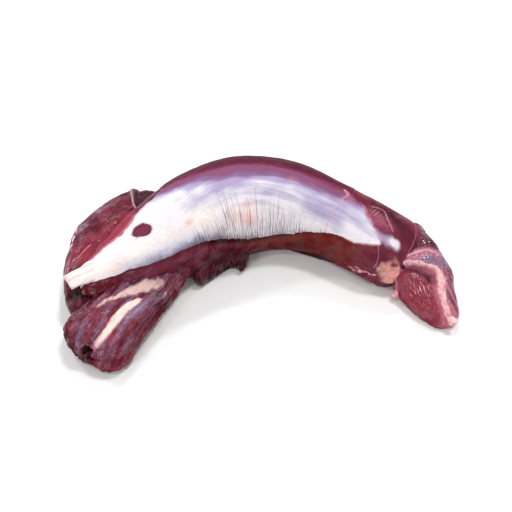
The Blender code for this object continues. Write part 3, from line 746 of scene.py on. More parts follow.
def lobe_skin(sizes):
    """The side lobe: thick bundles with deep furrows, a sinew strip, a film along its upper edge,
    and an open fold pressed into its blunt end."""
    skin = muscle_skin(SIDE_LOBE, 250, 220, (0.12, 0.10), 0.85, crowding=0.35)
    p = skin.points
    sinew, t = skin.away(LOBE_SINEW)
    sinew = sinew + 0.0005 * noise(p, 0.006, 38, 2)
    half = graded(t, (0, 0.0012), (0.15, 0.0024), (0.5, 0.0036), (0.75, 0.0032), (0.9, 0.0018), (1, 0.0002))
    film, film_t = skin.away(LOBE_FASCIA)
    film = film + 0.0016 * noise(p, 0.006, 35, 2)
    wide = graded(film_t, (0, 0.0010), (0.3, 0.0024), (0.7, 0.0060), (0.9, 0.0056), (1, 0.0010))
    strip = step(half + 0.0022, half - 0.0020, sinew)
    sheet = step(wide + 0.0040, wide - 0.0040, film)
    sheet *= graded(film_t, (0, 0.8), (0.5, 1), (0.8, 0.85), (1, 0.3))
    sheet *= 0.85 + 0.45 * skin.streaks(0.025, 0.0025, 44)
    relief, valleys = lobe_relief(sizes, p, 1 - 0.8 * np.maximum(strip, sheet))
    nub = 0.0014 * spot(skin, *NUB)
    skin.push(relief + nub + 0.0004 * step(half + 0.0012, half - 0.0008, sinew) + 0.0005 * sheet)
    radius = dent(skin, LOBE_HOLLOW, HOLLOW_HEADING, HOLLOW_DEPTH)
    edge = skin.level(((0, 120), (0.3, 112), (0.6, 112), (0.8, 125), (1, 140)))
    # the crease where the lobe tucks under the long muscle, where shade is painted
    crease_shade = step(-0.004, 0.004, skin.girth - edge)
    worn = graded(t, (0, 0.40), (0.12, 0.70), (0.35, 1), (0.85, 1), (1, 0.6))
    skin.masks = {
        "sinew": strip * worn * (0.95 + 0.25 * skin.streaks(0.030, 0.0015, 45))
        + 0.30 * sheet * step(-0.2, 0.5, noise(p, 0.012, 40)),
        "fascia": 1.4 * sheet + 0.45 * bell(radius - 1.12, 0.14) * step(0.014, 0.018, skin.points[:, :, 2])
        + 0.75 * spot(skin, *NUB),
        "pink": 0.8 * bell(sinew - half, 0.0016) * step(0.7, 0.1, t)
        + 0.35 * step(-0.2, 0.5, skin.streaks(0.040, 0.005, 39)),
        "bright": 0.45 + 0.5 * spot(skin, 0.84, 50, 0.014, 0.004),
        # painted shade low by the card, inside the open fold, in the furrows between bundles and in the
        # crease along the upper edge
        "dark": 0.8 * step(0.009, 0.001, p[:, :, 2]) + 0.85 * step(1.0, 0.7, radius)
        + 0.45 * valleys * (1 - strip) * (1 - sheet)
        + 0.75 * crease_shade * step(-0.5, 0.3, noise(p, 0.010, 41)) * (1 - sheet),
        "violet": 0.35 * step(-0.1, 0.5, noise(p, 0.016, 36, 2)),
        "lilac": 0.5 * spot(skin, 0.62, 46, 0.018, 0.0030)
        # lilac on the upper side: partly thin fascia, partly painted sheen
        + (0.40 + 0.26 * skin.streaks(0.030, 0.006, 42)) * step(0.004, 0.028, p[:, :, 2]),
        "wet": 0.5 + step(-0.2, 0.3, noise(p, 0.014, 37, 2)) - 1.2 * np.maximum(strip, 0.8 * sheet)
        - step(0.012, 0.003, p[:, :, 2]),
    }
    return skin.rest()


def tip_skin(sizes):
    """The blunt corner beside the open fold."""
    skin = round_skin(*LOBE_CORNER, 110, 130)
    p = skin.points
    relief, valleys = lobe_relief(sizes, p, 1.0)
    skin.masks = {
        "wet": 1.0,
        "violet": 0.5 * step(0.2, 0.6, noise(p, 0.010, 63)),
        "bright": 0.9,
        # lilac higher up: partly thin fascia, partly painted sheen
        "lilac": (0.50 + 0.3 * noise(p, 0.012, 67)) * step(0.004, 0.020, p[:, :, 2]),
        # painted shade low by the card and in the furrows
        "dark": 0.7 * step(0.008, 0.002, p[:, :, 2]) + 0.40 * valleys,
    }
    return skin.push(relief).rest()


def bulge_skin(sizes):
    """The round bulge between the side lobe and the gathered strip."""
    skin = round_skin(*ROUND_BULGE)
    p = skin.points
    height = sizes.lump * (1.2 * noise(p, 0.016, 64) + 0.5 * noise(p, 0.005, 65, 2))
    skin.masks = {
        "wet": step(0, 0.5, noise(p, 0.01, 66)),
        # painted shade low by the card
        "dark": 0.9 * step(0.022, 0.008, p[:, :, 2]),
        "violet": 0.5,
    }
    return skin.push(height).rest()


def strip_skin(sizes):
    """The gathered strip beside the head: rounded ribs across it with sharp valleys between them,
    and two places where its edge droops."""
    skin = muscle_skin(SIDE_STRIP, 320, 140, (0.10, 0.10), 0.9)
    share, degrees = skin.share[:, None], skin.degrees[None, :]
    front = np.exp(-((degrees - 184) / 43) ** 2)
    droop = 0.010 * bell(share - 0.14, 0.09) + 0.011 * bell(share - 0.84, 0.08)
    skin.points[:, :, 1] -= front * droop
    p = skin.points
    phase = skin.run / sizes.rib_pitch + 0.9 * noise(p, 0.014, 71)
    rib = np.abs(np.sin(np.pi * phase)) ** 0.6
    height = 0.0013 * (rib - 0.6) * np.sin(np.pi * share) ** 0.5
    height += sizes.lump * (0.8 * noise(p, 0.012, 72) + 0.5 * noise(p, 0.0045, 73, 2))
    skin.masks = {
        # painted shade between the ribs and low by the card, and darker all over
        "dark": 0.6 * (1 - rib) + 0.6 * step(0.012, 0.002, p[:, :, 2]) + 0.45,
        "violet": 0.65 + 0.3 * noise(p, 0.01, 74),
        "fascia": 0.5 * bell(degrees - 200, 12) * step(0.2, 0.6, noise(p, 0.01, 75)),
        "wet": 0.9,
    }
    return skin.push(height).rest()


def under_skin(sizes):
    """The strip under the silverskin's edge: long low bundles over a lumpy foot."""
    skin = muscle_skin(UNDER_STRIP, 280, 150, (0.1, 0.1), 0.9)
    p = skin.points
    lumps = noise(p, 0.006, 83, 2)
    height = sizes.lump * (0.8 * noise(p, 0.02, 81) + 0.5 * lumps)
    height -= 0.0005 * skin.furrows(0.090, 0.006, 0.15, 84)
    skin.masks = {
        "fascia": 0.5 * step(0.1, 0.5, lumps) * step(0.45, 0.7, skin.share[:, None]),
        "pink": 0.45 * step(0.45, 0.7, skin.share[:, None]),
        # darker all over, with painted shade low by the card
        "dark": 0.25 + 0.75 * step(0.012, 0.004, p[:, :, 2]),
        "wet": 0.25,
    }
    return skin.push(height).rest()


def tail_skin(sizes):
    """The tail end: a dished cut face under two rims of fat, and a smooth violet back."""
    skin = muscle_skin(TAIL, 250, 220, (0.12, 0.07), 0.72, crowding=0.3)
    share, degrees = skin.share[:, None], skin.degrees[None, :]
    facing_up = np.exp(-((degrees - 112) / 48.0) ** 4)
    p = skin.points
    high, _ = skin.away(RIM_HIGH)
    low, low_t = skin.away(RIM_LOW)
    top, _ = skin.away(FACE_TOP)
    edge, _ = skin.away(FACE_EDGE)
    lumps = noise(p, 0.006, 91, 2)
    low_half = graded(low_t, (0.3, 0.0016), (0.5, 0.0026), (0.6, 0.0038), (0.8, 0.0028), (1, 0.0024))
    rim = step(low_half + 0.0010, low_half - 0.0008, low + 0.0012 * lumps)
    ridge = step(0.0026, 0.0004, high + 0.0009 * lumps)
    side = skin.girth - skin.level(((0, 150), (0.40, 150), *RIM_LOW))
    dish = step(0.0, 0.006, side) * step(0.40, 0.44, share) * np.clip((1 - share) / 0.15, 0, 1) * facing_up
    beyond = step(0.50, 0.58, share) * step(0.0, -0.003, side)
    face = step(0.40, 0.42, share) * step(0.001, 0.004, side)
    between_rims = step(0.38, 0.40, share) * step(0.60, 0.50, share) * step(0.0, -0.002, side)
    streak = skin.streaks(0.03, 0.004, 95)
    height = sizes.lump * (1.0 * noise(p, 0.02, 92) + 0.35 * noise(p, 0.005, 93, 2))
    height += (0.0010 + 0.0008 * lumps) * rim + (0.0009 + 0.0005 * lumps) * ridge
    height -= 0.0034 * bell(top, 0.0032) * (1 - rim) - 0.0005 * bell(edge, 0.002)
    height -= face * 0.0004 * skin.furrows(0.012, 0.0022, 0.2, 94) + 0.0035 * dish
    skin.masks = {
        "fat": rim * np.clip(0.85 + 0.45 * lumps, 0, 1) + ridge * np.clip(0.60 + 0.5 * lumps, 0, 1)
        + 0.5 * bell(edge, 0.0016),
        "pink": 1.1 * bell(high, 0.0046) + 0.9 * bell(low, low_half + 0.0022) + 0.6 * bell(edge, 0.0026)
        + 0.75 * beyond * step(-0.8, 0.4, streak) + 0.5 * step(0.93, 1.0, share) + 0.35 * face,
        "lilac": 0.68 * between_rims * (1 - ridge) + 0.45 * beyond * step(0.5, -0.5, streak),
        "violet": 0.9 * step(0.39, 0.36, share) + 0.2 * beyond + 0.15 * face,
        # painted shadow under the low rim, painted shade low by the card, a darker spot on the face, and
        # darker towards the long muscle
        "dark": 0.9 * bell(top, 0.0030) * (1 - rim) + 0.7 * step(0.007, 0.001, p[:, :, 2]) * (1 - beyond)
        + 0.35 * spot(skin, 0.52, 120, 0.010, 0.010) + 0.50 * step(0.39, 0.36, share),
        "fascia": 0.5 * beyond * step(0.1, 0.5, noise(p, 0.008, 96, 2)),
        "flecks": step(0.2, 0.7, spot(skin, 0.68, 125, 0.015, 0.012)),
        "bright": face * (1.0 + 0.5 * noise(p, 0.009, 97)),
        "wet": 0.5 * face + 0.6,
    }
    return skin.push(height).rest()


def web_skin(sizes):
    """The loose fatty tissue that joins the long muscle's foot to the rims of the tail's cut face."""
    skin = round_skin(*WEB)
    masks, relief = web_tissue(skin.points)
    skin.masks = {"russet": 1.0, "wet": 0.5, **masks}
    return skin.push(sizes.lump * noise(skin.points, 0.010, 112, 2) + relief).rest()


def nub_skin(skin, place, radii, turn, seed, sunk=0.2):
    """A small lobe of fat that sits on another skin at the given place."""
    outwards = skin.read(skin.facing(), (place,))[0] * radii[2] * (1 - 2 * sunk)
    at = skin.read(skin.points, (place,))[0] + outwards
    nub = round_skin(at - SHIFT, radii, turn, 34, 40)
    nub.masks = {"stain": 0.65 + noise(nub.points, 0.006, seed)}
    return nub.push(0.30 * radii[2] * noise(nub.points, 1.4 * radii[2], seed, 2)).rest()


def fringe(skin, line, count, size, seed):
    """Small lobes of fat in a row along a line of a skin, growing towards its end."""
    draw = np.random.default_rng(seed)
    at = spline(np.linspace(0, 1, len(line)), np.array(line, float), np.linspace(0, 1, count))
    nubs = []
    for k, (share, degrees) in enumerate(at):
        here, ahead = skin.read(skin.points, ((share, degrees), (min(share + 0.01, 1), degrees)))
        turn = np.arctan2(*(ahead - here)[[1, 0]]) + draw.normal(0, 0.3)
        scale = size * (0.55 + 0.6 * k / count) * draw.uniform(0.75, 1.25)
        radii = scale * np.array((draw.uniform(1.4, 2.2), 0.8, draw.uniform(0.45, 0.65)))
        nubs.append(nub_skin(skin, (share, degrees + draw.normal(0, 3)), radii, turn, seed + k, 0.4))
    return nubs


# ---- meshes ---------------------------------------------------------------------------------------

def closed_mesh(name, skins):
    """One mesh from one or more skins: four-sided faces between rows and a fan of triangles at each
    end, with a map in metres (along the run, round the section) whose seam is on the underside."""
    places, corners, starts, uvs, base, loops = [], [], [], [], 0, 0
    masks = {key: [] for skin in skins for key in skin.masks}
    for skin in skins:
        count, cols = len(skin.share) - 2, len(skin.degrees)
        places.append(np.concatenate([skin.points[1:-1].reshape(-1, 3), skin.points[[0, -1]].mean(axis=1)]))
        r, c = (a.ravel() for a in np.meshgrid(np.arange(count - 1), np.arange(cols), indexing="ij"))
        n = (c + 1) % cols
        quads = np.stack([r * cols + c, r * cols + n, (r + 1) * cols + n, (r + 1) * cols + c], axis=1)
        k, m, pole = np.arange(cols), (np.arange(cols) + 1) % cols, np.full(cols, count * cols)
        last = (count - 1) * cols
        ends = ((pole, m, k), (pole + 1, last + k, last + m))
        fans = np.concatenate([np.stack(end, axis=1) for end in ends])
        corners.append(base + np.concatenate([quads.ravel(), fans.ravel()]))
        first = np.concatenate([4 * np.arange(len(quads)), quads.size + 3 * np.arange(len(fans))])
        starts.append(loops + first)
        run, around = skin.run[:, 0], skin.around
        u = [np.stack([run[r + 1], run[r + 1], run[r + 2], run[r + 2]], axis=1).ravel()]
        four = ((r + 1, c), (r + 1, c + 1), (r + 2, c + 1), (r + 2, c))
        v = [np.stack([around[place] for place in four], axis=1).ravel()]
        for end, ring, a, b in ((0, 1, k + 1, k), (-1, -2, k, k + 1)):
            u.append(np.stack([0 * k + run[end], 0 * k + run[ring], 0 * k + run[ring]], axis=1).ravel())
            middle = (around[ring, a] + around[ring, b]) / 2
            v.append(np.stack([middle, around[ring, a], around[ring, b]], axis=1).ravel())
        uvs.append(np.stack([np.concatenate(u), np.concatenate(v)], axis=1))
        for key, values in masks.items():
            grid = skin.masks.get(key, 0.0) + 0 * skin.run
            values.append(np.concatenate([grid[1:-1].ravel(), grid[[0, -1]].mean(axis=1)]))
        base += len(places[-1])
        loops += quads.size + fans.size
    mesh = bpy.data.meshes.new(name)
    places, corners, starts = np.concatenate(places), np.concatenate(corners), np.concatenate(starts)
    mesh.vertices.add(len(places))
    mesh.loops.add(len(corners))
    mesh.polygons.add(len(starts))
    mesh.vertices.foreach_set("co", places.astype(np.float32).ravel())
    mesh.loops.foreach_set("vertex_index", corners.astype(np.int32))
    mesh.polygons.foreach_set("loop_start", starts.astype(np.int32))
    mesh.update(calc_edges=True)
    mesh.shade_smooth()
    mesh.uv_layers.new(name="Along").data.foreach_set("uv", np.concatenate(uvs).astype(np.float32).ravel())
    for key, values in masks.items():
        attribute = mesh.attributes.new(key, "FLOAT", "POINT")
        attribute.data.foreach_set("value", np.concatenate(values).astype(np.float32))
    return mesh


def add_piece(name, skins, material):
    """Puts a piece of the tenderloin into the scene, standing for the solid of the frame."""
    mesh = closed_mesh(name, skins)
    mesh.materials.append(material)
    piece = bpy.data.objects.new(name, mesh)
    bpy.context.scene.collection.objects.link(piece)
    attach(piece, BODY)
    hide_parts(CAD_NODE)
    return piece


# ---- materials -------------------------------------------------------------------------------------

SMOOTH = {"interpolation_type": "SMOOTHSTEP"}
TIMES = {"operation": "MULTIPLY"}
LESS = {"operation": "SUBTRACT"}
COLOURS = {"data_type": "RGBA"}
MIXED = 2           # the colour output of a Mix node
GRIT = 0.55         # how much of its height each finer octave of a noise keeps
SHEATH_FINISH = "Silverskin over raw beef"
BEEF_FINISH = "Raw beef muscle with fat and fascia"
FAT_FINISH = "Raw beef fat"


def add(tree, kind, sockets=None, out=0, **settings):
    """Adds a node, sets its properties, fills or links its sockets by name or number, and gives back
    the output that is asked for."""
    made = tree.nodes.new("ShaderNode" + kind)
    for key, value in settings.items():
        setattr(made, key, value)
    for key, value in (sockets or {}).items():
        if isinstance(value, bpy.types.NodeSocket):
            tree.links.new(value, made.inputs[key])
        else:
            made.inputs[key].default_value = value
    return made.outputs[out]


def blank_material(name):
    """A new material of that name, its node tree and its Principled shader."""
    found = bpy.data.materials.get(name)
    if found:
        bpy.data.materials.remove(found)
    material = bpy.data.materials.new(name)
    material.use_nodes = True
    return material, material.node_tree, material.node_tree.nodes["Principled BSDF"]


def set_stops(shade, stops):
    """Gives the colour ramp behind a socket its (place, linear colour) stops."""
    band = shade.node.color_ramp
    while len(band.elements) < len(stops):
        band.elements.new(1.0)
    for element, (place, colour) in zip(band.elements, stops):
        element.position, element.color = place, (*colour, 1.0)


def fibre(tree, long, wide, detail=3.0):
    """Noise drawn out along the run: the piece's own map, shrunk by the two lengths in metres."""
    flat = add(tree, "UVMap", uv_map="Along")
    drawn_out = add(tree, "Mapping", {"Vector": flat, "Scale": (1 / long, 1 / wide, 1)})
    return add(tree, "TexNoise", {"Vector": drawn_out, "Scale": 1.0, "Detail": detail, "Roughness": GRIT})


def blots(tree, place, size, detail, low, high, most=1.0):
    """Soft-edged blots of about the given size in metres: noise, and a smooth step from low to high."""
    cloud = add(tree, "TexNoise", {"Vector": place, "Scale": 1 / size, "Detail": detail, "Roughness": GRIT})
    return add(tree, "MapRange", {0: cloud, 1: low, 2: high, 4: most}, **SMOOTH)


def lay(tree, below, colour, amount, low, high, most=1.0, blend_type="MIX"):
    """Lays a colour over another: none of it where the amount is low, the most where it is high."""
    share = add(tree, "MapRange", {0: amount, 1: low, 2: high, 4: most}, **SMOOTH)
    top = colour if isinstance(colour, bpy.types.NodeSocket) else (*colour, 1.0)
    return add(tree, "Mix", {0: share, 6: below, 7: top}, MIXED, blend_type=blend_type, **COLOURS)


def wet_relief(tree, shader, layers):
    """Chains bumps, one for each (height, depth in metres, strength)."""
    normal = None
    for height, depth, strength in layers:
        sockets = {"Height": height, "Distance": depth, "Strength": strength}
        if normal is not None:
            sockets["Normal"] = normal
        normal = add(tree, "Bump", sockets)
    tree.links.new(normal, shader.inputs["Normal"])


def set_body(tree, shader, place, scatter, film, coat_roughness):
    """What is the same all over raw meat: light goes a few millimetres in, red the furthest, and a
    film of juice (IOR 1.36) lies on top, thicker where the meat is wet. The film fills the fine
    grain and has soft ripples of its own, drawn out along the fibres, that catch the lamps.
    They are 4 mm long, wider than real ones, so that they show."""
    shader.subsurface_method = "RANDOM_WALK"
    constants = {
        "Subsurface Weight": scatter, "Subsurface Radius": (1.0, 0.28, 0.22), "Subsurface Scale": 0.003,
        "IOR": 1.38, "Specular IOR Level": 0.02, "Coat IOR": 1.36, "Coat Roughness": coat_roughness,
    }
    for name, value in constants.items():
        shader.inputs[name].default_value = value
    thin, thick = film
    wet = add(tree, "Attribute", out="Fac", attribute_name="wet")
    damp = add(tree, "MapRange", {0: wet, 1: -0.4, 2: 0.9, 4: thick - thin}, **SMOOTH)
    pools = blots(tree, place, 0.011, 1.0, 0.42, 0.60)
    damp = add(tree, "Math", {0: damp, 1: pools}, **TIMES)
    weight = add(tree, "Math", {0: damp, 1: thin})
    tree.links.new(weight, shader.inputs["Coat Weight"])
    swell = add(tree, "TexNoise", {"Vector": place, "Scale": 1 / 0.0042, "Detail": 0.0, "Roughness": GRIT})
    ripples = add(tree, "Math", {0: swell, 1: fibre(tree, 0.016, 0.0036, 0.0)})
    film_relief = add(tree, "Bump", {"Height": ripples, "Distance": 0.0013, "Strength": 1.0})
    tree.links.new(film_relief, shader.inputs["Coat Normal"])


def beef_colour(tree, place, colours, lively):
    """Raw beef: strands and patches of myoglobin red from dark to bright, crossed by paler threads,
    with the tissues of the masks laid over it, frayed where they meet it, and with the painted
    shade and painted sheen that some of the masks carry."""
    patches = add(tree, "TexNoise", {"Vector": place, "Scale": 1 / 0.030, "Detail": 2.0, "Roughness": GRIT})
    patches = add(tree, "Math", {0: patches, 1: 0.55}, **TIMES)
    strands = add(tree, "Math", {0: fibre(tree, 0.022, 0.0028), 1: 0.45}, **TIMES)
    tone = add(tree, "Math", {0: patches, 1: strands})
    colour = add(tree, "ValToRGB", {"Fac": tone})
    set_stops(colour, (
        (0.50 - 0.12 / lively, colours.dark_meat),
        (0.50, colours.meat),
        (0.50 + 0.14 / lively, colours.bright_meat),
    ))
    grain = fibre(tree, 0.014, 0.0008)
    colour = lay(tree, colour, colours.pale_fibre, grain, 0.56, 0.84, 0.14 * lively)
    fray = add(tree, "TexNoise", {"Vector": place, "Scale": 1 / 0.0040, "Detail": 3.0, "Roughness": GRIT})
    lean = add(tree, "Math", {0: fray, 1: 0.5}, **LESS)
    lean = add(tree, "Math", {0: lean, 1: 0.7}, **TIMES)
    # mask, its colour, where it starts and is full, and the most that it covers
    tissues = (
        ("bright", colours.bright_meat, 0.1, 1.0, 0.75),
        ("russet", colours.russet, 0.1, 1.0, 0.85),
        # violet is also partly painted sheen on lumps in the groove
        ("violet", colours.violet, 0.1, 1.0, 0.75),
        # lilac is also painted sheen in places
        ("lilac", colours.lilac, 0.2, 1.0, 0.75),
        # dark lays painted shade on the meat, and darker patches of it
        ("dark", colours.blood, 0.1, 1.1, 0.85),
        # pink is also a painted sheen on the bare end
        ("pink", colours.pink, 0.2, 1.0, 0.75),
        # fascia is also painted sheen on lumps in the groove
        ("fascia", colours.fascia, 0.25, 0.95, 0.85),
        ("fat", colours.fat, 0.20, 0.95, 0.95),
        ("sinew", colours.sinew, 0.20, 0.90, 1.0),
    )
    for name, tissue, low, high, most in tissues:
        here = add(tree, "Attribute", out="Fac", attribute_name=name)
        worn = add(tree, "Math", {0: lean, 1: here}, **TIMES)
        worn = add(tree, "Math", {0: here, 1: worn})
        share = add(tree, "MapRange", {0: worn, 1: low, 2: high, 4: most}, **SMOOTH)
        colour = add(tree, "Mix", {0: share, 6: colour, 7: (*tissue, 1.0)}, MIXED, **COLOURS)
        if name == "fat":
            rosy = blots(tree, place, 0.0060, 3.0, 0.48, 0.74, 0.55)
            rosy = add(tree, "Math", {0: rosy, 1: share}, **TIMES)
            colour = add(tree, "Mix", {0: rosy, 6: colour, 7: (*colours.pink, 1.0)}, MIXED, **COLOURS)
    loose = add(tree, "Attribute", out="Fac", attribute_name="coral")
    loose = add(tree, "Math", {0: loose, 1: lean})
    colour = lay(tree, colour, colours.coral, loose, 0.1, 1.0, 0.70)
    flecks = add(tree, "Attribute", out="Fac", attribute_name="flecks")
    dashes = add(tree, "MapRange", {0: fibre(tree, 0.0060, 0.0012, 0.0), 1: 0.60, 2: 0.70, 4: 0.6}, **SMOOTH)
    flecks = add(tree, "Math", {0: dashes, 1: flecks}, **TIMES)
    colour = add(tree, "Mix", {0: flecks, 6: colour, 7: (*colours.fascia, 1.0)}, MIXED, **COLOURS)
    return colour, grain, fray


def beads(tree, place, least):
    """Small raised drops of juice, higher where the meat is wet."""
    wet = add(tree, "Attribute", out="Fac", attribute_name="wet")
    wet = add(tree, "Math", {0: wet, 1: least})
    return add(tree, "Math", {0: blots(tree, place, 0.0030, 2.0, 0.42, 0.68), 1: wet}, **TIMES)


def beef_material(colours):
    """Raw beef, cut and torn muscle. Moist fibres in bundles about 1 mm wide: dark red with paler
    threads, blotched violet where a thin fascia stays on, with cream fat and white sinew, all
    under a film of juice that breaks the light into small sharp glints."""
    material, tree, shader = blank_material(BEEF_FINISH)
    place = add(tree, "TexCoord", out="Object")
    colour, grain, fray = beef_colour(tree, place, colours, 1.0)
    tree.links.new(colour, shader.inputs["Base Color"])
    dry = add(tree, "MapRange", {"Value": fray, "To Min": 0.20, "To Max": 0.40})
    tree.links.new(dry, shader.inputs["Roughness"])
    set_body(tree, shader, place, 0.22, (0.05, 1.0), 0.13)
    ropes = fibre(tree, 0.012, 0.0024, 2.0)
    wet_relief(tree, shader, (
        (grain, 0.0004, 0.4), (ropes, 0.0024, 0.8), (beads(tree, place, 0.3), 0.0010, 0.9),
    ))
    return material


def sheath_material(colours):
    """Silverskin over raw beef. A tough, satin membrane of fibres laid along the muscle: nearly white
    and pearly where it is thick, lilac and mauve where it thins and the meat shows through. Fine
    cross wrinkles run up from its gathered edge, 1 mm apart, wider than real ones so that they show."""
    material, tree, shader = blank_material(SHEATH_FINISH)
    place = add(tree, "TexCoord", out="Object")
    red, _, _ = beef_colour(tree, place, colours, 0.5)
    threads = fibre(tree, 0.016, 0.0009)
    wisps = fibre(tree, 0.030, 0.0030, 4.0)
    drift = add(tree, "Math", {0: wisps, 1: 0.5}, **LESS)
    drift = add(tree, "Math", {0: drift, 1: 0.5}, **TIMES)
    belt = add(tree, "Attribute", out="Fac", attribute_name="belt")
    belt = add(tree, "Math", {0: belt, 1: drift})
    belt = add(tree, "Math", {0: belt, 1: 0.25}, **TIMES)
    colour = add(tree, "ValToRGB", {"Fac": belt})
    set_stops(colour, (
        (0.155, colours.silverskin), (0.20, colours.pearl), (0.25, colours.haze), (0.295, colours.lilac),
        (0.345, colours.deep_lilac), (0.44, colours.mauve), (0.53, colours.plum_line), (0.62, colours.plum),
        # past the cap the back darkens to near black
        (0.75, colours.cap), (1.00, colours.blood),
    ))
    cloud = add(tree, "TexNoise", {"Vector": place, "Scale": 1 / 0.012, "Detail": 4.0, "Roughness": GRIT})
    vague = add(tree, "Math", {0: cloud, 1: 0.5}, **LESS)
    vague = add(tree, "Math", {0: vague, 1: 2.0}, **TIMES)
    # mask, its colour, where it starts and is full, and the most that it covers
    casts = (
        ("warm", colours.cream, 0.1, 1.1, 0.85),
        # painted blue shade at the lower edge
        ("shade", colours.shade, 0.1, 1.2, 0.78),
        # painted shade in the folds and along the lower edge
        ("crease_shade", colours.fold, 0.10, 1.0, 0.72),
        ("blush", colours.blush, 0.15, 1.1, 0.50),
    )
    for name, cast, low, high, most in casts:
        here = add(tree, "Attribute", out="Fac", attribute_name=name)
        worn = add(tree, "Math", {0: vague, 1: here}, **TIMES)
        worn = add(tree, "Math", {0: here, 1: worn})
        colour = lay(tree, colour, cast, worn, low, high, most)
    reach = add(tree, "Attribute", out="Fac", attribute_name="pucker")
    pucker = add(tree, "Math", {0: reach, 1: 0.30}, **TIMES)
    pucker = add(tree, "Math", {0: fibre(tree, 0.0010, 0.016, 2.0), 1: pucker})
    pucker = add(tree, "MapRange", {0: pucker, 1: 0.74, 2: 0.92, 4: 1.0}, **SMOOTH)
    pucker = add(tree, "Math", {0: pucker, 1: reach}, **TIMES)
    # painted shade in the valleys of the fine wrinkles
    faint = add(tree, "Math", {0: pucker, 1: 0.45}, **TIMES)
    colour = add(tree, "Mix", {0: faint, 6: colour, 7: (*colours.fold, 1.0)}, MIXED, **COLOURS)
    colour = lay(tree, colour, colours.pearl, threads, 0.50, 0.74, 0.32, "MULTIPLY")
    silver = add(tree, "Attribute", out="Fac", attribute_name="silver")
    colour = lay(tree, red, colour, silver, 0.3, 0.7)
    # marks that show on silverskin and on bare meat alike, and a painted highlight near the end of the
    # silverskin
    marks = (
        # a painted highlight, in the colour of thick silverskin
        ("painted_highlight", colours.silverskin, 0.1, 1.1, 0.95),
        ("nick", colours.nick, 0.3, 0.7, 0.80),
        ("scratch", colours.deep_lilac, 0.2, 1.0, 0.6),
        ("vein", colours.vein, 0.3, 0.9, 0.65),
    )
    for name, mark, low, high, most in marks:
        here = add(tree, "Attribute", out="Fac", attribute_name=name)
        colour = lay(tree, colour, mark, here, low, high, most)
    tree.links.new(colour, shader.inputs["Base Color"])
    satin = add(tree, "MapRange", {"Value": threads, "To Min": 0.28, "To Max": 0.46})
    tree.links.new(satin, shader.inputs["Roughness"])
    set_body(tree, shader, place, 0.18, (0.02, 0.80), 0.14)
    wet_relief(tree, shader, (
        (threads, 0.0002, 0.30), (wisps, 0.0005, 0.20), (pucker, -0.0006, 0.6),
        (beads(tree, place, 0.25), 0.0012, 0.8),
    ))
    return material


def fat_material(colours):
    """Raw beef fat: soft waxy lobes, cream to salmon with pink where blood has stained them."""
    material, tree, shader = blank_material(FAT_FINISH)
    place = add(tree, "TexCoord", out="Object")
    cloud = add(tree, "TexNoise", {"Vector": place, "Scale": 1 / 0.0060, "Detail": 4.0, "Roughness": GRIT})
    stain = add(tree, "Attribute", out="Fac", attribute_name="stain")
    stain = add(tree, "Math", {0: cloud, 1: stain})
    stain = add(tree, "MapRange", {0: stain, 1: 0.55, 2: 1.45, 4: 1.0}, **SMOOTH)
    ends = {0: stain, 6: (*colours.fat, 1.0), 7: (*colours.pink, 1.0)}
    colour = add(tree, "Mix", ends, MIXED, **COLOURS)
    tree.links.new(colour, shader.inputs["Base Color"])
    rough = add(tree, "MapRange", {"Value": stain, "To Min": 0.34, "To Max": 0.22})
    tree.links.new(rough, shader.inputs["Roughness"])
    set_body(tree, shader, place, 0.2, (0.10, 0.60), 0.12)
    pores = add(tree, "TexNoise", {"Vector": place, "Scale": 1 / 0.0016, "Detail": 3.0, "Roughness": GRIT})
    wet_relief(tree, shader, ((pores, 0.0004, 0.4),))
    return material


def table_material(colours):
    """Matt white card: a plain pale sweep with the faintest tooth."""
    material, tree, shader = blank_material("Matt white card")
    place = add(tree, "TexCoord", out="Object")
    tooth = add(tree, "TexNoise", {"Vector": place, "Scale": 1 / 0.0012, "Detail": 2.0, "Roughness": GRIT})
    shader.inputs["Base Color"].default_value = (*colours.table, 1.0)
    shader.inputs["Roughness"].default_value = 0.9
    wet_relief(tree, shader, ((tooth, 0.0001, 0.2),))
    return material


def kept_material(maker, name, colours):
    """The finish of that name, made the first time it is asked for."""
    return bpy.data.materials.get(name) or maker(colours)


# ---- what a user may change ------------------------------------------------------------------------

def length(name, description, value, most):
    """A length in metres that a user may change."""
    return FloatProperty(
        name=name, description=description, default=value, min=0.0, max=most,
        unit="LENGTH", subtype="DISTANCE", precision=5,
    )


def tint(name, description, colour):
    """A colour that a user may change, given as an sRGB hex value."""
    return FloatVectorProperty(
        name=name, description=description, default=linear(colour), size=3, min=0.0, max=1.0, subtype="COLOR",
    )


class TenderloinSizes(bpy.types.PropertyGroup):
    """Sizes of the relief"""

    lump: length("Lumps", "Height of the soft lumps of the muscles", 0.0010, 0.01)
    sheath_thickness: length("Silverskin", "How far the silverskin stands off the meat", 0.0006, 0.005)
    fold_pitch: length("Fold pitch", "Distance between two folds of the gathered silverskin", 0.0034, 0.05)
    fold_depth: length("Fold depth", "Depth of those folds", 0.0009, 0.01)
    nick_depth: length("Nick depth", "Depth of the oval nick", 0.0009, 0.01)
    rib_pitch: length("Rib pitch", "Distance between two ribs of the gathered strip", 0.0050, 0.05)


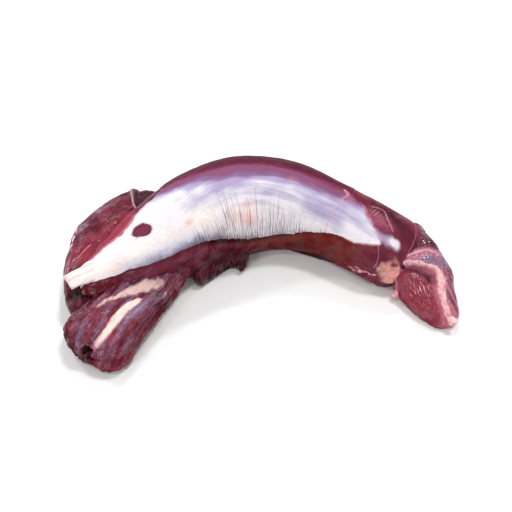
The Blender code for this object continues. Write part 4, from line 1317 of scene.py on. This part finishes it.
class TenderloinColours(bpy.types.PropertyGroup):
    """Colours of the tissues, and of the card they lie on"""

    # also the colour of the painted highlight near the end of the silverskin
    silverskin: tint("Silverskin", "Thick silverskin", "#e9e2e7")
    cream: tint("Cream", "Warm patches of the silverskin", "#fbefe8")
    pearl: tint("Pearl", "Thinner silverskin", "#cfc9d8")
    # painted blue shade where the silverskin turns under at its lower edge
    shade: tint("Blue shade", "Blue cast near the lower edge", "#8a8cb2")
    # painted shade in folds, in wrinkles and along the silverskin's lower edge
    fold: tint("Fold", "Valleys of the gathered silverskin", "#675661")
    haze: tint("Haze", "Between pearl and lilac", "#b4a9c8")
    # also painted sheen on the upper side of the side lobe, and round the painted highlight
    lilac: tint("Lilac", "Thin fascia with some meat showing through", "#ab9abd")
    deep_lilac: tint("Deep lilac", "Thinner still", "#8e6f98")
    mauve: tint("Mauve", "Fascia over red meat", "#7f5475")
    plum: tint("Plum", "The belt above the mauve", "#6a2d45")
    plum_line: tint("Plum line", "A thin paler line in the plum belt", "#8d4c6c")
    cap: tint("Cap", "The dark back of the long muscle", "#571c31")
    # also partly painted sheen on lumps in the groove
    violet: tint("Violet", "Violet fascia on the muscles", "#663450")
    meat: tint("Meat", "Raw beef", "#6e2131")
    dark_meat: tint("Dark meat", "Its darker patches", "#420f1a")
    bright_meat: tint("Bright meat", "Its brighter patches", "#993747")
    pale_fibre: tint("Pale fibres", "Threads between the bundles", "#b0606f")
    # painted shade in creases, furrows, hollows, under rims and low by the card, and the darkest patches of
    # meat
    blood: tint("Blood", "Deep wet creases", "#28060c")
    # also painted sheen on lumps in the groove
    fascia: tint("Fascia", "Pale pink film", "#ebcac4")
    fat: tint("Fat", "Fat rims, web and nubs", "#f5c8c6")
    blush: tint("Blush", "Where fat or silverskin is stained pink", "#dd7c78")
    coral: tint("Coral", "Loose fatty tissue in front of the tail", "#f5a090")
    russet: tint("Russet", "Wet, freshly cut red", "#74261c")
    # also a painted sheen on the bare end of the long muscle
    pink: tint("Pink", "Rims and borders stained pink", "#d07c94")
    sinew: tint("Sinew", "The white strip on the side lobe", "#f4dfd5")
    vein: tint("Vein", "Small empty veins", "#d99aa6")
    nick: tint("Nick", "Meat in the oval nick", "#7c3c50")
    table: tint("Card", "The card under the meat", "#fbfbfb")


# ---- operators -------------------------------------------------------------------------------------

def finishes(scene):
    """The sizes, and the finishes for silverskin, meat and fat."""
    colours = scene.tenderloin_colours
    return (
        scene.tenderloin_sizes,
        kept_material(sheath_material, SHEATH_FINISH, colours),
        kept_material(beef_material, BEEF_FINISH, colours),
        kept_material(fat_material, FAT_FINISH, colours),
    )


class TENDERLOIN_OT_main_muscle(bpy.types.Operator):
    """Adds the long muscle under its silverskin, and the square-cut sinew end of the silverskin"""

    bl_idname = "tenderloin.main_muscle"
    bl_label = "Long muscle and silverskin"

    def execute(self, context):
        sizes, sheath, _, fat = finishes(context.scene)
        skin = main_skin(sizes)
        add_piece("main_muscle", (skin,), sheath)
        add_piece("sinew_end", (band_skin(),), sheath)
        add_piece("foot_fat", fringe(skin, FOOT_FRINGE, 12, 0.0017, 300), fat)
        return {"FINISHED"}


class TENDERLOIN_OT_head(bpy.types.Operator):
    """Adds the flap of the head, with the nubs of fat on its edge"""

    bl_idname = "tenderloin.head"
    bl_label = "Head flap"

    def execute(self, context):
        sizes, _, beef, fat = finishes(context.scene)
        skin = flap_skin(sizes)
        add_piece("head_flap", (skin,), beef)
        nubs = [
            nub_skin(skin, (0.530, 143), (0.0014, 0.0044, 0.0018), 0.3, 201, 0.66),
            nub_skin(skin, (0.572, 144), (0.0014, 0.0050, 0.0018), 0.0, 202, 0.66),
            nub_skin(skin, (0.612, 143), (0.0012, 0.0036, 0.0016), -0.2, 203, 0.66),
        ]
        add_piece("head_fat", nubs, fat)
        return {"FINISHED"}


class TENDERLOIN_OT_side_lobe(bpy.types.Operator):
    """Adds the side lobe, its blunt corner and the round bulge beside it"""

    bl_idname = "tenderloin.side_lobe"
    bl_label = "Side lobe"

    def execute(self, context):
        sizes, _, beef, _ = finishes(context.scene)
        add_piece("side_lobe", (lobe_skin(sizes),), beef)
        add_piece("lobe_tip", (tip_skin(sizes),), beef)
        add_piece("round_bulge", (bulge_skin(sizes),), beef)
        return {"FINISHED"}


class TENDERLOIN_OT_strips(bpy.types.Operator):
    """Adds the gathered strip beside the head and the long strip under the silverskin"""

    bl_idname = "tenderloin.strips"
    bl_label = "Side strips"

    def execute(self, context):
        sizes, _, beef, _ = finishes(context.scene)
        add_piece("gathered_strip", (strip_skin(sizes),), beef)
        add_piece("under_strip", (under_skin(sizes),), beef)
        return {"FINISHED"}


class TENDERLOIN_OT_tail(bpy.types.Operator):
    """Adds the tail end with its rims and nubs of fat"""

    bl_idname = "tenderloin.tail"
    bl_label = "Tail end"

    def execute(self, context):
        sizes, _, beef, fat = finishes(context.scene)
        skin = tail_skin(sizes)
        add_piece("tail", (skin,), beef)
        add_piece("web", (web_skin(sizes),), beef)
        nubs = [
            nub_skin(skin, (0.545, 186), (0.0026, 0.0034, 0.0030), 0.3, 205),
            nub_skin(skin, (0.985, 100), (0.0030, 0.0036, 0.0024), 0.5, 206),
        ]
        add_piece("tail_fat", nubs, fat)
        return {"FINISHED"}


CAMERA_DISTANCE = 0.628
CAMERA_DOWN = 45.0      # degrees
LENS = 45.0             # millimetres, for a sensor 36 mm wide
LAMPS = (
    # name, place, side, power
    ("Overhead softbox", (0.60, 0.35, 1.95), 0.28, 14.0),
    ("Left softbox", (-1.00, 0.75, 1.60), 0.22, 6.5),
    ("Back softbox", (0.10, 1.35, 1.50), 0.28, 12.0),
    ("Front softbox", (-0.35, -0.60, 1.95), 0.20, 5.0),
    ("Low softbox", (-0.95, -1.15, 0.95), 0.18, 4.0),
)
AIM = (0.0, 0.0, 0.03)  # where every lamp points
ROOM_LIGHT = 0.25
SWEEP_FLAT = 1.2        # how far the card is flat, the rise of its bend, and the height of its wall
SWEEP_BEND = 0.9
SWEEP_WALL = 2.0
SWEEP_SIDES = 72


def sweep_mesh(material):
    """A wide bowl of card: flat in the middle, then a quarter ellipse up to a wall, turned about Z."""
    rise = np.linspace(0, np.pi / 2, 24)[1:]
    flat = np.linspace(0, SWEEP_FLAT, 14)
    bend = SWEEP_FLAT + SWEEP_BEND * np.sin(rise)
    radius = np.concatenate([flat, bend, [SWEEP_FLAT + SWEEP_BEND]])[:, None]
    height = np.concatenate([0 * flat, SWEEP_BEND * (1 - np.cos(rise)), [SWEEP_WALL]])[:, None]
    turn = np.linspace(0, 2 * np.pi, SWEEP_SIDES, endpoint=False)
    grid = np.stack([radius * np.cos(turn), radius * np.sin(turn), height + 0 * turn], axis=2)
    k = np.arange(SWEEP_SIDES)
    n = (k + 1) % SWEEP_SIDES
    rows = np.arange(1, len(radius) - 1)[:, None] * SWEEP_SIDES
    above = rows + SWEEP_SIDES
    faces = np.stack([rows + k, above + k, above + n, rows + n], axis=2).reshape(-1, 4)
    fan = np.stack([0 * k, SWEEP_SIDES + k, SWEEP_SIDES + n], axis=1)
    mesh = bpy.data.meshes.new("sweep")
    mesh.from_pydata(grid.reshape(-1, 3).tolist(), [], fan.tolist() + faces.tolist())
    mesh.shade_smooth()
    mesh.materials.append(material)
    return mesh


class TENDERLOIN_OT_stage(bpy.types.Operator):
    """Adds the white sweep, the lamps and the camera"""

    bl_idname = "tenderloin.stage"
    bl_label = "Stage"

    def execute(self, context):
        scene = context.scene
        card = table_material(scene.tenderloin_colours)
        sweep = bpy.data.objects.new("sweep", sweep_mesh(card))
        scene.collection.objects.link(sweep)

        world = bpy.data.worlds.new("Soft white room")
        world.use_nodes = True
        room = world.node_tree.nodes["Background"]
        room.inputs["Color"].default_value = (1.0, 1.0, 1.0, 1.0)
        room.inputs["Strength"].default_value = ROOM_LIGHT
        scene.world = world
        for name, place, side, power in LAMPS:
            lamp = bpy.data.lights.new(name, "AREA")
            lamp.shape, lamp.size, lamp.energy = "SQUARE", side, power
            holder = bpy.data.objects.new(name, lamp)
            holder.location = place
            x, y, z = np.subtract(place, AIM)
            holder.rotation_euler = (np.arctan2(np.hypot(x, y), z), 0.0, np.arctan2(y, x) + np.pi / 2)
            scene.collection.objects.link(holder)

        tilt = np.radians(CAMERA_DOWN)
        view = bpy.data.cameras.new("Camera")
        view.lens, view.sensor_width = LENS, 36.0
        camera = bpy.data.objects.new("Camera", view)
        camera.location = SHIFT + CAMERA_DISTANCE * np.array([0.0, -np.cos(tilt), np.sin(tilt)])
        camera.rotation_euler = (np.pi / 2 - tilt, 0.0, 0.0)
        scene.collection.objects.link(camera)
        scene.camera = camera
        scene.view_settings.view_transform = "Standard"
        return {"FINISHED"}


class TENDERLOIN_PT_panel(bpy.types.Panel):
    """Lists the pieces of the tenderloin"""

    bl_label = "Tenderloin"
    bl_space_type = "VIEW_3D"
    bl_region_type = "UI"
    bl_category = "Tenderloin"

    def draw(self, context):
        for group in (context.scene.tenderloin_sizes, context.scene.tenderloin_colours):
            column = self.layout.column(align=True)
            for name in group.__annotations__:
                column.prop(group, name)
        for operator in OPERATORS:
            self.layout.operator(operator.bl_idname)


OPERATORS = (
    TENDERLOIN_OT_stage,
    TENDERLOIN_OT_main_muscle,
    TENDERLOIN_OT_head,
    TENDERLOIN_OT_side_lobe,
    TENDERLOIN_OT_strips,
    TENDERLOIN_OT_tail,
)
CLASSES = (TenderloinSizes, TenderloinColours, *OPERATORS, TENDERLOIN_PT_panel)


def register():
    for made in CLASSES:
        bpy.utils.register_class(made)
    bpy.types.Scene.tenderloin_sizes = PointerProperty(type=TenderloinSizes)
    bpy.types.Scene.tenderloin_colours = PointerProperty(type=TenderloinColours)


def unregister():
    del bpy.types.Scene.tenderloin_colours
    del bpy.types.Scene.tenderloin_sizes
    for made in reversed(CLASSES):
        bpy.utils.unregister_class(made)


def main():
    register()
    bpy.ops.tenderloin.stage()
    bpy.ops.tenderloin.main_muscle()
    bpy.ops.tenderloin.head()
    bpy.ops.tenderloin.side_lobe()
    bpy.ops.tenderloin.strips()
    bpy.ops.tenderloin.tail()


if __name__ == "__main__":
    main()
